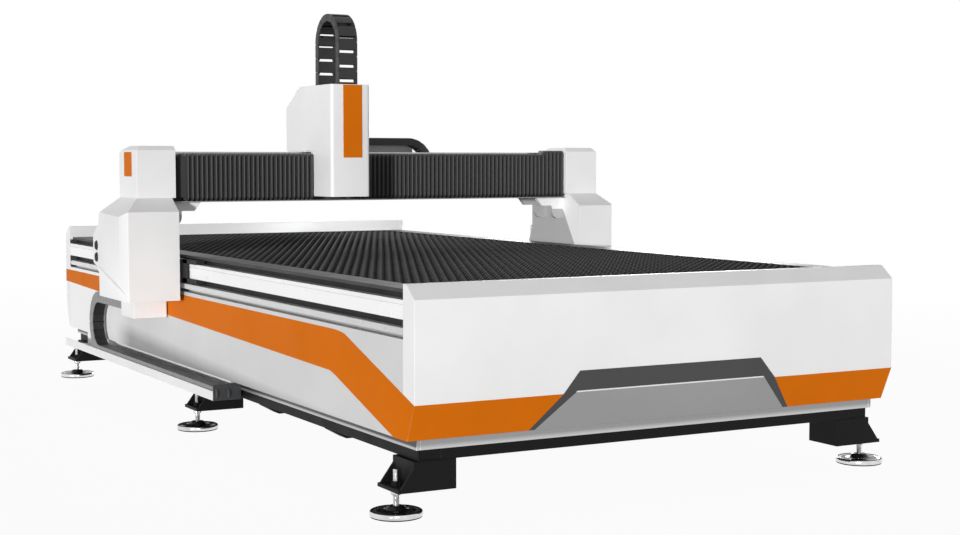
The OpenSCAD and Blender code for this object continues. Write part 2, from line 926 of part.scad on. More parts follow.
// links round a half turn, from straight above the axis over +y to straight below; their outer corners
// stay inside the runs
module chain_bend(n, r, w, h) {
    t = tan(90 / n);
    mid = (r + h / 2 - slide_gap) * cos(90 / n) - h / 2;
    for (i = [0:n - 1]) {
        rotate([-(i + 1 / 2) * 180 / n, 0, 0]) translate([0, 0, mid])
            chain_link((2 * mid - h) * t - link_gap, (2 * mid + h) * t - link_gap, w, h);
    }
}

module long_chain_low() {
    color(mid_grey) translate([-ychain_in, tray_y0, ychain_z]) chain_run(ylow_n, ylow_p, ychain_w, ychain_h);
}

module long_chain_top() {
    color(mid_grey) translate([-ychain_in, yup_y, ychain_top]) chain_run(yup_n, yup_p, ychain_w, ychain_h);
}

module long_chain_bend() {
    color(mid_grey) translate([-ychain_in, ychain_y, ychain_z + ychain_r])
        chain_bend(ybend_n, ychain_r, ychain_w, ychain_h);
}

module chain_hanger() {
    in_x = ychain_in - link_gap;
    color(white) difference() {
        span([-hanger_x, hanger_y0, hanger_z], [sheet - in_x, hanger_y1, leg_z]);
        span([sheet - hanger_x, hanger_y0 + sheet, hanger_z + sheet],
             [-in_x, hanger_y1 + cut, leg_z - sheet]);
    }
}

module gantry_beam() {
    color(mid_grey) tube([-leg_x, beam_y, bellows_z], [leg_x, beam_y1, beam_top], 0, beam_t);
}

module beam_ledge() {
    color(grey) span([-cover_x0, gantry_y + ledge_set, ledge_z], [cover_x0, beam_y1, bellows_z]);
}

module beam_guides() {
    x = head_x + beam_rack_first * tooth_space;
    half = beam_rail_h / 2;
    color(steel) {
        for (z = beam_rail_zs) {
            span([-beam_rail_x, beam_y - beam_rail_t, z - half], [beam_rail_x, beam_y, z + half]);
        }
        translate([x, beam_rack_y, beam_top]) rack_bar(beam_rack_n, beam_rack_d, beam_rack_h);
    }
}

// folded cover between two stations: pleats in front, thin walls above and below
module bellows(x0, x1, stack) {
    n = round((x1 - x0) / fold_pitch);
    p = (x1 - x0) / (2 * n);
    folds = [for (i = [0:2 * n]) [x0 + i * p, gantry_y + (i % 2 == 0 ? fold_d : 0)]];
    first = 2 * (n - stack);
    color(dark) {
        difference() {
            along_z(bellows_z, bellows_top, concat(folds, [[x1, beam_y], [x0, beam_y]]));
            span([x0 - cut, gantry_y + fold_d + bellows_t, bellows_z + bellows_t],
                 [x1 + cut, beam_y + cut, bellows_top - bellows_t]);
        }
        if (stack > 0) {
            along_z(bellows_top, bellows_top + stack_h, concat(
                [for (i = [first:2 * n]) folds[i]], [[x1, beam_y], [x0 + first * p, beam_y]]
            ));
        }
    }
}

module bellows_left() { bellows(-cover_x0, head_x - saddle_half, 0); }

module bellows_right() { bellows(head_x + saddle_half, cover_x0, stack_n); }

// leg body on the right, set in by w; the inset one runs out at the inner side and at the top
function leg_side(w, over) = [
    [leg_y0 + w, leg_z + w], [leg_y1 - leg_foot_set - w, leg_z + w],
    [leg_y1 - leg_foot_set - w, leg_z + leg_rear_foot + w], [leg_y1 - w, leg_z + leg_rear_low + w],
    [leg_y1 - w, leg_top - leg_rear_high - w], [leg_y1 - leg_rear_set - w, leg_top - leg_rear_mid - w],
    [leg_y1 - leg_rear_set - w, leg_top - leg_rear_top - w],
    [cover_y1 - w, leg_top + over], [cover_y0 + w, leg_top + over],
    [leg_y0 + w, leg_top - leg_front_shoulder - w / 2]
];

// the outer face falls back below one slanting line and leans in above another
module leg_body(out, w, over) {
    face = out - w;
    difference() {
        intersection() {
            along_x(leg_x - over, out, leg_side(w, over));
            along_y(leg_y0, leg_y1, [
                [leg_x - over, leg_z + w], [face, leg_z + w], [face, leg_top - leg_shoulder - w / 2],
                [cover_x1 - w, leg_top + over], [leg_x - over, leg_top + over]
            ]);
            along_z(leg_z, leg_top + over, [
                [leg_x - over, leg_y0 + w], [out - leg_front_x - w / 2, leg_y0 + w],
                [face, leg_y0 + leg_front_y + w / 2], [face, leg_y1 - leg_rear_y],
                [face - leg_rear_x, leg_y1 - w], [leg_x - over, leg_y1 - w]
            ]);
        }
        translate([0, leg_y0, leg_z + leg_step_z]) rotate([leg_step_tilt, 0, 0])
            along_y(-leg_back, leg_front + 2 * leg_back, [
                [face - leg_step, -leg_back], [face - leg_step, w / 2 - leg_step_h], [face, w / 2],
                [out + cut, w / 2], [out + cut, -leg_back]
            ]);
        translate([0, leg_y0, leg_top - leg_peak_z]) rotate([leg_peak_tilt, 0, 0])
            along_y(-leg_back, leg_front + 2 * leg_back, [
                [face, 0], [face - leg_peak_x, leg_peak_h], [out + cut, leg_peak_h], [out + cut, 0]
            ]);
    }
}

module leg_cover(out) {
    color(white) difference() {
        leg_body(out, 0, 0);
        leg_body(out, sheet, cut);
        span([leg_x - cut, cover_y1 - 2 * sheet, leg_top - leg_frame_low],
             [leg_frame_x + seam, leg_y1 + cut, leg_top + cut]);
        for (z = grommet_zs) {
            translate([out - leg_rear_x - grommet_l, grommet_y, z]) rotate([0, 90, 0])
                cylinder(r = grommet_r + turn_gap, h = 2 * grommet_l);
        }
    }
}

module leg_cover_right() { leg_cover(leg_out_right); }

module leg_cover_left() { mirror([1, 0, 0]) leg_cover(leg_out); }

module leg_grommets() {
    color(dark) for (z = grommet_zs) {
        for (x = [-leg_out, leg_out_right - grommet_l]) {
            translate([x, grommet_y, z]) rotate([0, 90, 0]) cylinder(r = grommet_r, h = grommet_l);
        }
    }
}

// leg plates, with gussets under the beam
module leg_frames() {
    tip = leg_x - corner_w;
    knee = tip + corner_nose + corner_flat;
    low = ledge_z - corner_h;
    color(grey) both() {
        along_x(leg_x, leg_frame_x, [
            [leg_y0 + sheet, leg_plate_z], [leg_y1 - leg_foot_set - sheet, leg_plate_z],
            [leg_y1 - leg_foot_set - sheet, leg_z + leg_rear_foot + sheet],
            [leg_y1 - sheet, leg_z + leg_rear_low + sheet], [leg_y1 - sheet, leg_top - leg_frame_low],
            [leg_y1 - leg_frame_rear, leg_top - leg_frame_high],
            [leg_y1 - leg_frame_rear, leg_top - leg_rear_top],
            [cover_y1 - sheet, leg_top], [cover_y0 + sheet, leg_top],
            [leg_y0 + sheet, leg_top - leg_front_shoulder - sheet / 2]
        ]);
        span([leg_x, beam_y, leg_top], [leg_frame_x, beam_y1, beam_top]);
        for (y = [gantry_y + ledge_set + corner_in, beam_y1 - corner_t]) {
            along_y(y, y + corner_t, concat(
                [[leg_x, ledge_z], [tip, ledge_z], [tip + corner_nose, ledge_z - corner_step],
                 [knee, ledge_z - corner_step]],
                [for (a = round_steps) [knee + corner_r * (1 - cos(a)), low + corner_r * (1 - sin(a))]],
                [[leg_x, low]]
            ));
        }
    }
}

module slider_blocks() {
    color(dark) both() for (y = slider_ys) {
        y0 = y - slider_l / 2;
        y1 = y + slider_l / 2;
        arm_x = rail_x - slider_reach;
        face_x = rail_x + slide_gap;
        span([face_x, y0, rail_z - slider_over], [leg_x, y1, rail_top + slider_over]);
        span([arm_x, y0, rail_top + slide_gap], [face_x, y1, rail_top + slide_gap + slider_arm]);
        span([arm_x, y0, rail_z - slide_gap - slider_arm], [face_x, y1, rail_z - slide_gap]);
    }
}

module drive_motors() {
    gear_z = leg_plate_z + motor_plate_t;
    half = motor_w / 2;
    wide = motor_plate_w / 2;
    color(mid_grey) both() {
        difference() {
            span([leg_frame_x, pinion_y - wide, leg_plate_z], [pinion_x + wide, pinion_y + wide, gear_z]);
            translate([pinion_x, pinion_y, leg_plate_z - cut])
                cylinder(r = shaft_r + turn_gap, h = motor_plate_t + 2 * cut);
        }
        span([pinion_x - half, pinion_y - half, gear_z],
             [pinion_x + half, pinion_y + half, gear_z + gearbox_h]);
        translate([pinion_x, pinion_y, gear_z + gearbox_h]) cylinder(r = half, h = motor_h);
    }
}

module end_cover_body(w, over) {
    z1 = cover_z1 - w;
    intersection() {
        along_y(cover_y0, cover_y1, [
            [cover_x0 + w, leg_top - over], [cover_x1 - w, leg_top - over], [cover_x1 - w, z1 - cover_cham],
            [cover_x1 - cover_cham - w, z1], [cover_x0 + w, z1]
        ]);
        along_x(cover_x0, cover_x1, [
            [cover_y0 + w, leg_top - over], [cover_y0 + w, z1 - cover_cham], [cover_y0 + cover_cham + w, z1],
            [cover_y1 - cover_rear_y - w, z1], [cover_y1 - w, z1 - cover_rear_z],
            [cover_y1 - w, leg_top - over]
        ]);
    }
}

module end_covers() {
    color(white) both() difference() {
        end_cover_body(0, 0);
        end_cover_body(sheet, cut);
        span([cover_x0 - cut, beam_y - seam, leg_top - cut],
             [cover_x0 + sheet + cut, cover_y1 - sheet, beam_top + seam]);
    }
}

module end_badges() {
    color(orange) both() span([cover_x1, end_badge_y - end_badge_l / 2, end_badge_z],
                              [cover_x1 + badge_t, end_badge_y + end_badge_l / 2, end_badge_z + end_badge_h]);
}

module beam_chain_tray() {
    color(white) {
        span([xtray_x0, beam_y1, xchain_low - sheet], [xtray_x1, xtray_y, xchain_low]);
        span([xtray_x0, xtray_y - sheet, xchain_low], [xtray_x1, xtray_y, xchain_low + xtray_wall]);
        span([xtray_x0, xtray_y - sheet, xchain_low + xtray_wall],
             [xtray_back_x, xtray_y, xchain_z - xtray_back_down]);
    }
}

module beam_chain_low() {
    color(mid_grey) translate([xlow_x, xchain_y, xchain_low + xchain_h / 2]) rotate([0, 0, -90])
        chain_run(xlow_n, xlow_p, xchain_w, xchain_h);
}

module beam_chain_top() {
    color(mid_grey) translate([xup_x, xchain_y, xchain_z]) rotate([0, 0, -90])
        chain_run(xup_n, xup_p, xchain_w, xchain_h);
}

module beam_chain_bend() {
    color(mid_grey) translate([xchain_x, xchain_y, xchain_z - xchain_r]) rotate([0, 0, -90])
        chain_bend(xbend_n, xchain_r, xchain_w, xchain_h);
}

// carriage body on the beam: front plate with runners, top plate over the beam, chain rests
module saddle() {
    x0 = head_x - saddle_half;
    x1 = head_x + saddle_half;
    chain_y1 = xchain_y + xchain_w;
    color(mid_grey) {
        difference() {
            union() {
                span([x0, saddle_y0, saddle_z0], [x1, saddle_y1, saddle_top]);
                span([x0, saddle_y1 - cut, saddle_low], [x1, xchain_y - slot_gap, saddle_top]);
                span([x0, saddle_y1 - cut, saddle_low], [xup_x + xtab_l, chain_y1, saddle_top]);
            }
            translate([head_x, cross_y, saddle_low - cut])
                cylinder(r = cross_shaft_r + turn_gap, h = saddle_t + 2 * cut);
        }
        for (x = [x0, x1 - runner_l], z = beam_rail_zs) {
            difference() {
                span([x, saddle_y1, z - runner_h / 2],
                     [x + runner_l, saddle_y1 + runner_d, z + runner_h / 2]);
                span([x - cut, beam_y - beam_rail_t - slide_gap, z - beam_rail_h / 2 - slide_gap],
                     [x + runner_l + cut, beam_y, z + beam_rail_h / 2 + slide_gap]);
            }
        }
        span([xup_x, xchain_y, saddle_top], [xup_x + xtab_l, chain_y1, xchain_z - xchain_h / 2]);
        span([zchain_x - zpost_w, zchain_rear - zchain_h / 2, saddle_top],
             [zchain_x, zchain_rear + zchain_h / 2, zrear_z]);
    }
}

module cross_motor() {
    half = cross_w / 2;
    color(dark) {
        span([head_x - half, cross_y - half, saddle_top],
             [head_x + half, cross_y + half, saddle_top + cross_gear_h]);
        translate([head_x, cross_y, saddle_top + cross_gear_h]) cylinder(r = half, h = cross_motor_h);
    }
}

module cross_pinion() {
    color(steel) translate([head_x, cross_y, beam_top + seam]) {
        rotate([0, 0, -90]) gear(cross_n, beam_rack_h);
        cylinder(r = cross_shaft_r, h = saddle_top - beam_top - seam - slide_gap);
    }
}

// head cover on its side outline, with the front upright edges rounded
module head_body(w, over) {
    z1 = head_z1 - w;
    r = head_round - w;
    intersection() {
        along_x(head_x0 + w, head_x1 - w, [
            [head_y0 + w, head_z0 - over], [head_y0 + w, z1], [head_y1 - head_cham_y - w / 2, z1],
            [head_y1 - w, head_z1 - head_cham_h - w / 2], [head_y1 - w, head_back_z - over],
            [gantry_y - head_back_gap + over, head_back_z - over],
            [gantry_y - head_back_gap + over, head_z0 - over]
        ]);
        along_z(head_z0 - over, head_z1, concat(
            [for (a = round_steps) [head_x1 - w - r + r * sin(a), head_y0 + w + r - r * cos(a)]],
            [[head_x1 - w, head_y1], [head_x0 + w, head_y1]],
            [for (a = round_steps) [head_x0 + w + r - r * cos(a), head_y0 + w + r - r * sin(a)]]
        ));
    }
}

module head_cover() {
    slot_half = zchain_h / 2 + slot_gap;
    color(white) difference() {
        head_body(0, 0);
        head_body(sheet, cut);
        for (y = [zchain_front, zchain_rear]) {
            span([zchain_x - zchain_w - slot_gap, y - slot_half, head_z1 - sheet - cut],
                 [zchain_x + slot_gap, y + slot_half, head_z1 + cut]);
        }
        span([head_x1 - sheet - cut, xchain_y - slot_gap, head_back_z - cut],
             [head_x1 + cut, xchain_y + xchain_w + slot_gap, xchain_z + xchain_h / 2 + slot_gap]);
    }
}

module head_badge() {
    color(orange) span([head_x - badge_left, head_y0 - badge_t, head_z1 - badge_down - badge_h],
                       [head_x + badge_right, head_y0, head_z1 - badge_down]);
}

module lift_guide() {
    half = lift_base_w / 2;
    foot = screw_foot_w / 2;
    color(grey) {
        span([head_x - half, lift_base_y, lift_base_z], [head_x + half, saddle_y0, lift_base_top]);
        for (s = [-1, 1]) {
            x = head_x + s * lift_rail_off;
            span([x - lift_rail_w / 2, lift_base_y - lift_rail_t, lift_base_z],
                 [x + lift_rail_w / 2, lift_base_y, lift_base_top]);
        }
        span([head_x - foot, screw_y - screw_r - lift_block_gap, lift_base_z],
             [head_x + foot, lift_base_y, lift_base_z + screw_foot_h]);
    }
}

module lift_motor() {
    half = lift_motor_w / 2;
    top = lift_base_top + lift_mount_t;
    color(dark) {
        difference() {
            span([head_x - half, screw_y - half, lift_base_top], [head_x + half, saddle_y0, top]);
            translate([head_x, screw_y, lift_base_top - cut])
                cylinder(r = screw_r + turn_gap, h = lift_mount_t + 2 * cut);
        }
        span([head_x - half, screw_y - half, top], [head_x + half, screw_y + half, top + lift_motor_h]);
    }
}

module lift_screw() {
    low = lift_base_z + screw_foot_h + slide_gap;
    color(steel) translate([head_x, screw_y, low])
        cylinder(r = screw_r, h = lift_base_top + lift_mount_t - low - slide_gap);
}

// moving plate: runner blocks, screw nut and the rest for the head chain
module lift_plate() {
    half = lift_plate_w / 2;
    back = lift_plate_y + lift_block_d;
    front = lift_plate_y - lift_plate_t;
    mid = (lift_z + lift_top) / 2;
    color(grey) {
        span([head_x - half, front, lift_z], [head_x + half, lift_plate_y, lift_top]);
        for (s = [-1, 1]) {
            x = head_x + s * lift_rail_off;
            difference() {
                span([x - lift_block_w / 2, lift_plate_y, lift_z + lift_block_in],
                     [x + lift_block_w / 2, back, lift_top - lift_block_in]);
                span([x - lift_rail_w / 2 - slide_gap, lift_base_y - lift_rail_t - slide_gap, lift_z],
                     [x + lift_rail_w / 2 + slide_gap, lift_base_y, lift_top]);
            }
        }
        difference() {
            span([head_x - nut_w / 2, lift_plate_y, mid - nut_l / 2],
                 [head_x + nut_w / 2, back, mid + nut_l / 2]);
            translate([head_x, screw_y, lift_z]) cylinder(r = screw_r + turn_gap, h = lift_h);
        }
        span([zchain_x - zchain_w, zchain_front - zchain_h / 2, lift_top - ztab_t],
             [zchain_x, front, lift_top]);
    }
}

module torch_clamp() {
    half = torch_r + clamp_wall;
    low = lift_z + clamp_up;
    color(dark) difference() {
        span([head_x - half, torch_y - half, low],
             [head_x + half, lift_plate_y - lift_plate_t, low + clamp_h]);
        translate([head_x, torch_y, low - cut]) cylinder(r = torch_r + turn_gap, h = clamp_h + 2 * cut);
    }
}

module torch() {
    cone_z = torch_nozzle_h + torch_cone_h;
    color(steel) translate([head_x, torch_y, torch_z]) rotate_extrude() polygon([
        [0, 0], [torch_tip_r, 0], [torch_nozzle_r, torch_nozzle_h], [torch_r, cone_z],
        [torch_r, torch_l - torch_cap_h], [torch_nozzle_r, torch_l], [0, torch_l]
    ]);
}

module head_chain_front() {
    color(mid_grey) translate([zchain_x, zchain_front, lift_top]) rotate([90, 0, 0])
        chain_run(zfront_n, zfront_p, zchain_w, zchain_h);
}

module head_chain_rear() {
    color(mid_grey) translate([zchain_x, zchain_rear, zrear_z]) rotate([90, 0, 0])
        chain_run(zrear_n, zrear_p, zchain_w, zchain_h);
}

module head_chain_bend() {
    color(mid_grey) translate([zchain_x, zchain_y, zchain_z]) rotate([90, 0, 0])
        chain_bend(zbend_n, zchain_r, zchain_w, zchain_h);
}

base_frame();
foot_brackets();
foot_front_left();
foot_front_right();
foot_middle_left();
foot_middle_right();
foot_rear_left();
foot_rear_right();
bed_frame();
slag_tray();
skirt_lip();
front_panel();
rear_panel();
side_panels();
side_stripes();
end_trim();
inset_frame();
inset_panel();
guide_rails();
drive_racks();
pinion_right();
pinion_left();
bed_edges();
slats();
cable_tray();
long_chain_low();
long_chain_top();
long_chain_bend();
chain_hanger();
gantry_beam();
beam_ledge();
beam_guides();
bellows_left();
bellows_right();
leg_cover_right();
leg_cover_left();
leg_grommets();
leg_frames();
slider_blocks();
drive_motors();
end_covers();
end_badges();
beam_chain_tray();
beam_chain_low();
beam_chain_top();
beam_chain_bend();
saddle();
cross_motor();
cross_pinion();
head_cover();
head_badge();
lift_guide();
lift_motor();
lift_screw();
lift_plate();
torch_clamp();
torch();
head_chain_front();
head_chain_rear();
head_chain_bend();
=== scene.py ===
"""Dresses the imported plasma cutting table: paint, steel, folded covers, link chains, feet and fixings."""
import json

import bmesh
import bpy
import numpy as np
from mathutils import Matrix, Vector

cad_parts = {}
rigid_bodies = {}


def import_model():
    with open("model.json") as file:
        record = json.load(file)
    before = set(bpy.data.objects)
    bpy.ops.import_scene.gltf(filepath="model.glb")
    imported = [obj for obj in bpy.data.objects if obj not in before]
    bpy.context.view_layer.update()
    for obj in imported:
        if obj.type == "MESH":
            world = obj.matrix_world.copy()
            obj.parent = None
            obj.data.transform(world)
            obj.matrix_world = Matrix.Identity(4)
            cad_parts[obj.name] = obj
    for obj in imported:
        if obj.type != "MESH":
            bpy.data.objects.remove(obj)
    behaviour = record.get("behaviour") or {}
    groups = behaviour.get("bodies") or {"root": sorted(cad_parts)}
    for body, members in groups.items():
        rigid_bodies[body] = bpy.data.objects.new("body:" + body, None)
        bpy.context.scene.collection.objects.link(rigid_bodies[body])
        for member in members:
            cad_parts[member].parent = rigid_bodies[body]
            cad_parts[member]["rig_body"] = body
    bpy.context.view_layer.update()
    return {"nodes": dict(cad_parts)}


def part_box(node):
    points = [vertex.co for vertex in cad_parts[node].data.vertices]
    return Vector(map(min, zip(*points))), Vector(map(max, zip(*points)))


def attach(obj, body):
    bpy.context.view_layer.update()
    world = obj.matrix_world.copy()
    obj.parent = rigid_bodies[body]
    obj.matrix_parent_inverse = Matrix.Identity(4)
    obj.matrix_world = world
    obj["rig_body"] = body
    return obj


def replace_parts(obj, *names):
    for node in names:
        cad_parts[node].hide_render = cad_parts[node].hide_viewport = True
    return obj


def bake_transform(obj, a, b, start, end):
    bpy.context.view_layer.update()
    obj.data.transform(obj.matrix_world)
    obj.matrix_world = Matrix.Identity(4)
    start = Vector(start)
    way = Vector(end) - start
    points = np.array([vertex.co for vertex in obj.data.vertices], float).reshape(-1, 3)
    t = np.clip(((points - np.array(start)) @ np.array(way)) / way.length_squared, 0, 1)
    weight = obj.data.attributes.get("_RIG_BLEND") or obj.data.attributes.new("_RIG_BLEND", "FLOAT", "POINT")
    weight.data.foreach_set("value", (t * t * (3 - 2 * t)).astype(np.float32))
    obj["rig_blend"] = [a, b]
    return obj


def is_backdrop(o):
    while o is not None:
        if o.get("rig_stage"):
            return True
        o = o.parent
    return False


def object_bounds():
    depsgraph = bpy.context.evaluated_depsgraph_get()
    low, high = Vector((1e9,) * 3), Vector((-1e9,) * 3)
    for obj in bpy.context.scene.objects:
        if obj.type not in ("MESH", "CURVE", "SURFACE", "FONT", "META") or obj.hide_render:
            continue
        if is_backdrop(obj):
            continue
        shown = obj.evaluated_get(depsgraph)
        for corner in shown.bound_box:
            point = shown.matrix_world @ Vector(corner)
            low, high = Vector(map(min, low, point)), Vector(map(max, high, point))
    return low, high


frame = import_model()

# The studio: a pale floor that fades into white, a low sun from the left, soft boxes in front and behind, and
# a small lamp over the table for its far wall. The camera is at the photograph's place, a little above the
# bed and off the left front corner.
PHOTO_WIDTH = 960
FOCAL_PIXELS = 1618.8
SENSOR_WIDTH = 36.0
CAMERA_PLACE = (-3.1018, -6.3558, 1.1006)
CAMERA_YAW = np.radians(28.76)
CAMERA_PITCH = np.radians(3.75)
FLOOR_HALF = 60.0
FLOOR_NEAR = 3.5
FLOOR_FAR = 9.0
FLOOR_SHOWN = 0.95
DOME_EDGE = 0.05
DOME_TOP = 0.6


def add(tree, kind, **inputs):
    """Adds a shader node. A keyword names an input, with underscores for spaces: an output given there is
    linked and a value is set. A keyword that names no input is one of the node's own settings."""
    made = tree.nodes.new("ShaderNode" + kind)
    for key, value in inputs.items():
        socket = made.inputs.get(key.replace("_", " "))
        if socket is None:
            setattr(made, key, value)
        elif isinstance(value, bpy.types.NodeSocket):
            tree.links.new(value, socket)
        else:
            socket.default_value = value
    return made


def sum_of(tree, *terms, operation="ADD"):
    """Joins outputs or numbers with one Math operation after another, held between 0 and 1."""
    total = terms[0]
    for term in terms[1:]:
        made = add(tree, "Math", operation=operation, use_clamp=True)
        for socket, value in zip(made.inputs, (total, term)):
            if isinstance(value, bpy.types.NodeSocket):
                tree.links.new(value, socket)
            else:
                socket.default_value = value
        total = made.outputs[0]
    return total


def seen_rays(tree):
    """1 for rays that show the background: from the camera, off gloss and through glass."""
    path = add(tree, "LightPath").outputs
    return sum_of(tree, path["Is Camera Ray"], path["Is Glossy Ray"], path["Is Transmission Ray"])


def lamp(kind, name, place, toward, strength, **settings):
    """A light of a kind at a place that shines along toward, with settings of its own such as its size."""
    data = bpy.data.lights.new(name, kind)
    data.energy = strength
    for key, value in settings.items():
        setattr(data, key, value)
    made = bpy.data.objects.new(name, data)
    made.location = place
    made.rotation_mode = "QUATERNION"
    made.rotation_quaternion = Vector(toward).to_track_quat("-Z", "Y")
    bpy.context.scene.collection.objects.link(made)


floor_mesh = bpy.data.meshes.new("studio_floor")
floor_mesh.from_pydata(
    [(x * FLOOR_HALF, y * FLOOR_HALF, 0) for x, y in ((-1, -1), (1, -1), (1, 1), (-1, 1))], [], [(0, 1, 2, 3)]
)
floor = bpy.data.objects.new("studio_floor", floor_mesh)
bpy.context.scene.collection.objects.link(floor)
floor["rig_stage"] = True
floor_paint = bpy.data.materials.new("studio_floor")
floor_paint.use_nodes = True
tree = floor_paint.node_tree
tree.nodes.remove(tree.nodes["Principled BSDF"])
reach = add(tree, "VectorMath", operation="LENGTH", Vector=add(tree, "TexCoord").outputs["Object"])
fade = add(
    tree, "MapRange", Value=reach.outputs["Value"], From_Min=FLOOR_NEAR, From_Max=FLOOR_FAR,
    To_Min=FLOOR_SHOWN, To_Max=1.0,
)
fade = sum_of(tree, fade.outputs["Result"], seen_rays(tree), operation="MULTIPLY")
matt = add(tree, "BsdfDiffuse", Color=(0.86, 0.86, 0.86, 1))
white = add(tree, "Emission", Color=(1, 1, 1, 1), Strength=1.0)
mixed = tree.nodes.new("ShaderNodeMixShader")
for socket, value in zip(mixed.inputs, (fade, matt.outputs[0], white.outputs[0])):
    tree.links.new(value, socket)
tree.links.new(mixed.outputs[0], tree.nodes["Material Output"].inputs["Surface"])
floor_mesh.materials.append(floor_paint)

world = bpy.data.worlds.new("studio")
bpy.context.scene.world = world
world.use_nodes = True
tree = world.node_tree
height = add(tree, "SeparateXYZ", Vector=add(tree, "TexCoord").outputs["Generated"]).outputs["Z"]
dome = add(tree, "ValToRGB", Fac=height)
dome.color_ramp.elements[0].position = DOME_EDGE
dome.color_ramp.elements[0].color = (0.45, 0.45, 0.46, 1)
dome.color_ramp.elements[1].position = DOME_TOP
dome.color_ramp.elements[1].color = (0.10, 0.10, 0.105, 1)
soft = add(tree, "Background", Color=dome.outputs["Color"], Strength=1.0)
white = tree.nodes["Background"]
white.inputs["Color"].default_value = (1, 1, 1, 1)
white.inputs["Strength"].default_value = 1.0
mixed = tree.nodes.new("ShaderNodeMixShader")
for socket, value in zip(mixed.inputs, (seen_rays(tree), soft.outputs[0], white.outputs[0])):
    tree.links.new(value, socket)
tree.links.new(mixed.outputs[0], tree.nodes["World Output"].inputs["Surface"])

lamp("SUN", "key_light", place=(0, 0, 0), toward=(0.74, 0.67, -0.05), strength=2.90, angle=np.radians(4))
lamp("AREA", "front_softbox", place=(-3.0, -7.0, 1.3), toward=(0.35, 0.93, -0.08), strength=48.0, size=2.0)
lamp("AREA", "rear_softbox", place=(6.0, 7.0, 2.6), toward=(-0.64, -0.75, -0.2), strength=420.0, size=3.0)
lamp(
    "AREA", "far_wall_light", place=(0.65, -1.6, 3.4), toward=(0, 3.55, -2.67), strength=2.0, size=0.6,
    spread=np.radians(16),
)

camera_data = bpy.data.cameras.new("photo_camera")
camera_data.sensor_width = SENSOR_WIDTH
camera_data.lens = SENSOR_WIDTH * FOCAL_PIXELS / PHOTO_WIDTH
camera = bpy.data.objects.new("photo_camera", camera_data)
ahead = np.cos(CAMERA_PITCH)
look = np.sin(CAMERA_YAW) * ahead, np.cos(CAMERA_YAW) * ahead, -np.sin(CAMERA_PITCH)
camera.location = CAMERA_PLACE
camera.rotation_mode = "QUATERNION"
camera.rotation_quaternion = Vector(look).to_track_quat("-Z", "Y")
bpy.context.scene.collection.objects.link(camera)
bpy.context.scene.camera = camera
bpy.context.scene.view_settings.view_transform = "Standard"

# The base frame: square steel tubes welded into a ladder, with tapered cross skids and foot brackets
# under it, all sprayed satin black. Handling has chipped the paint here and there.
MERGE = 1e-5
FLAT_ANGLE = np.radians(0.5)
BEVEL_ANGLE = np.radians(28)
BEVEL_STEPS = 2
TUBE_ROUNDING = 0.003
PLATE_ROUNDING = 0.0015
CHIP_SHADE = (0.16, 0.155, 0.15, 1)
CHIP_START = 0.73
CHIP_SOFT = 0.02


def shaded(colour, share):
    """A colour darkened or lightened by a share, with an alpha of 1."""
    return (*(channel * share for channel in colour), 1)


def ramp(tree, value, *stops):
    """A colour ramp on a value: each stop is a place from 0 to 1 and a colour."""
    made = add(tree, "ValToRGB", Fac=value)
    for _ in range(len(stops) - 2):
        made.color_ramp.elements.new(0.5)
    for element, (place, colour) in zip(made.color_ramp.elements, stops):
        element.position = place
        element.color = colour
    return made.outputs["Color"]


def finish(name, **constants):
    """A new material: its tree, its shader with the constants set on it, and the Object coordinates."""
    made = bpy.data.materials.new(name)
    made.use_nodes = True
    tree = made.node_tree
    shader = tree.nodes["Principled BSDF"]
    for key, value in constants.items():
        shader.inputs[key.replace("_", " ")].default_value = value
    return made, tree, shader, add(tree, "TexCoord").outputs["Object"]


def powder_coat(name, colour, dull, peel=0.25, chips=0.0, sheen=0.4):
    """Baked powder paint: broad noise moves the tone, middling noise the gloss, fine noise the wavy skin.
    Where a last noise passes a threshold the paint is chipped down to bare grey."""
    made, tree, shader, place = finish(name, Specular_IOR_Level=sheen)
    broad = add(tree, "TexNoise", Vector=place, Scale=2.3, Detail=4.0).outputs["Fac"]
    tone = ramp(tree, broad, (0.35, shaded(colour, 0.94)), (0.62, shaded(colour, 1.0)))
    if chips:
        spots = add(tree, "TexNoise", Vector=place, Scale=38.0, Detail=6.0, Roughness=0.7).outputs["Fac"]
        limit = CHIP_START - chips
        bare = add(tree, "MapRange", Value=spots, From_Min=limit, From_Max=limit + CHIP_SOFT)
        chipped = add(tree, "MixRGB", Fac=bare.outputs["Result"], Color1=tone, Color2=CHIP_SHADE)
        tone = chipped.outputs["Color"]
    tree.links.new(tone, shader.inputs["Base Color"])
    smears = add(tree, "TexNoise", Vector=place, Scale=7.0, Detail=3.0).outputs["Fac"]
    gloss = add(
        tree, "MapRange", Value=smears, From_Min=0.3, From_Max=0.7, To_Min=dull - 0.05, To_Max=dull + 0.07
    )
    tree.links.new(gloss.outputs["Result"], shader.inputs["Roughness"])
    skin = add(tree, "TexNoise", Vector=place, Scale=520.0, Detail=2.0).outputs["Fac"]
    bump = add(tree, "Bump", Height=skin, Strength=peel, Distance=0.0003)
    tree.links.new(bump.outputs["Normal"], shader.inputs["Normal"])
    return made


def paint_node(node, material):
    """Gives a CAD node that is shown as it is its material."""
    slots = frame["nodes"][node].data.materials
    slots.clear()
    slots.append(material)


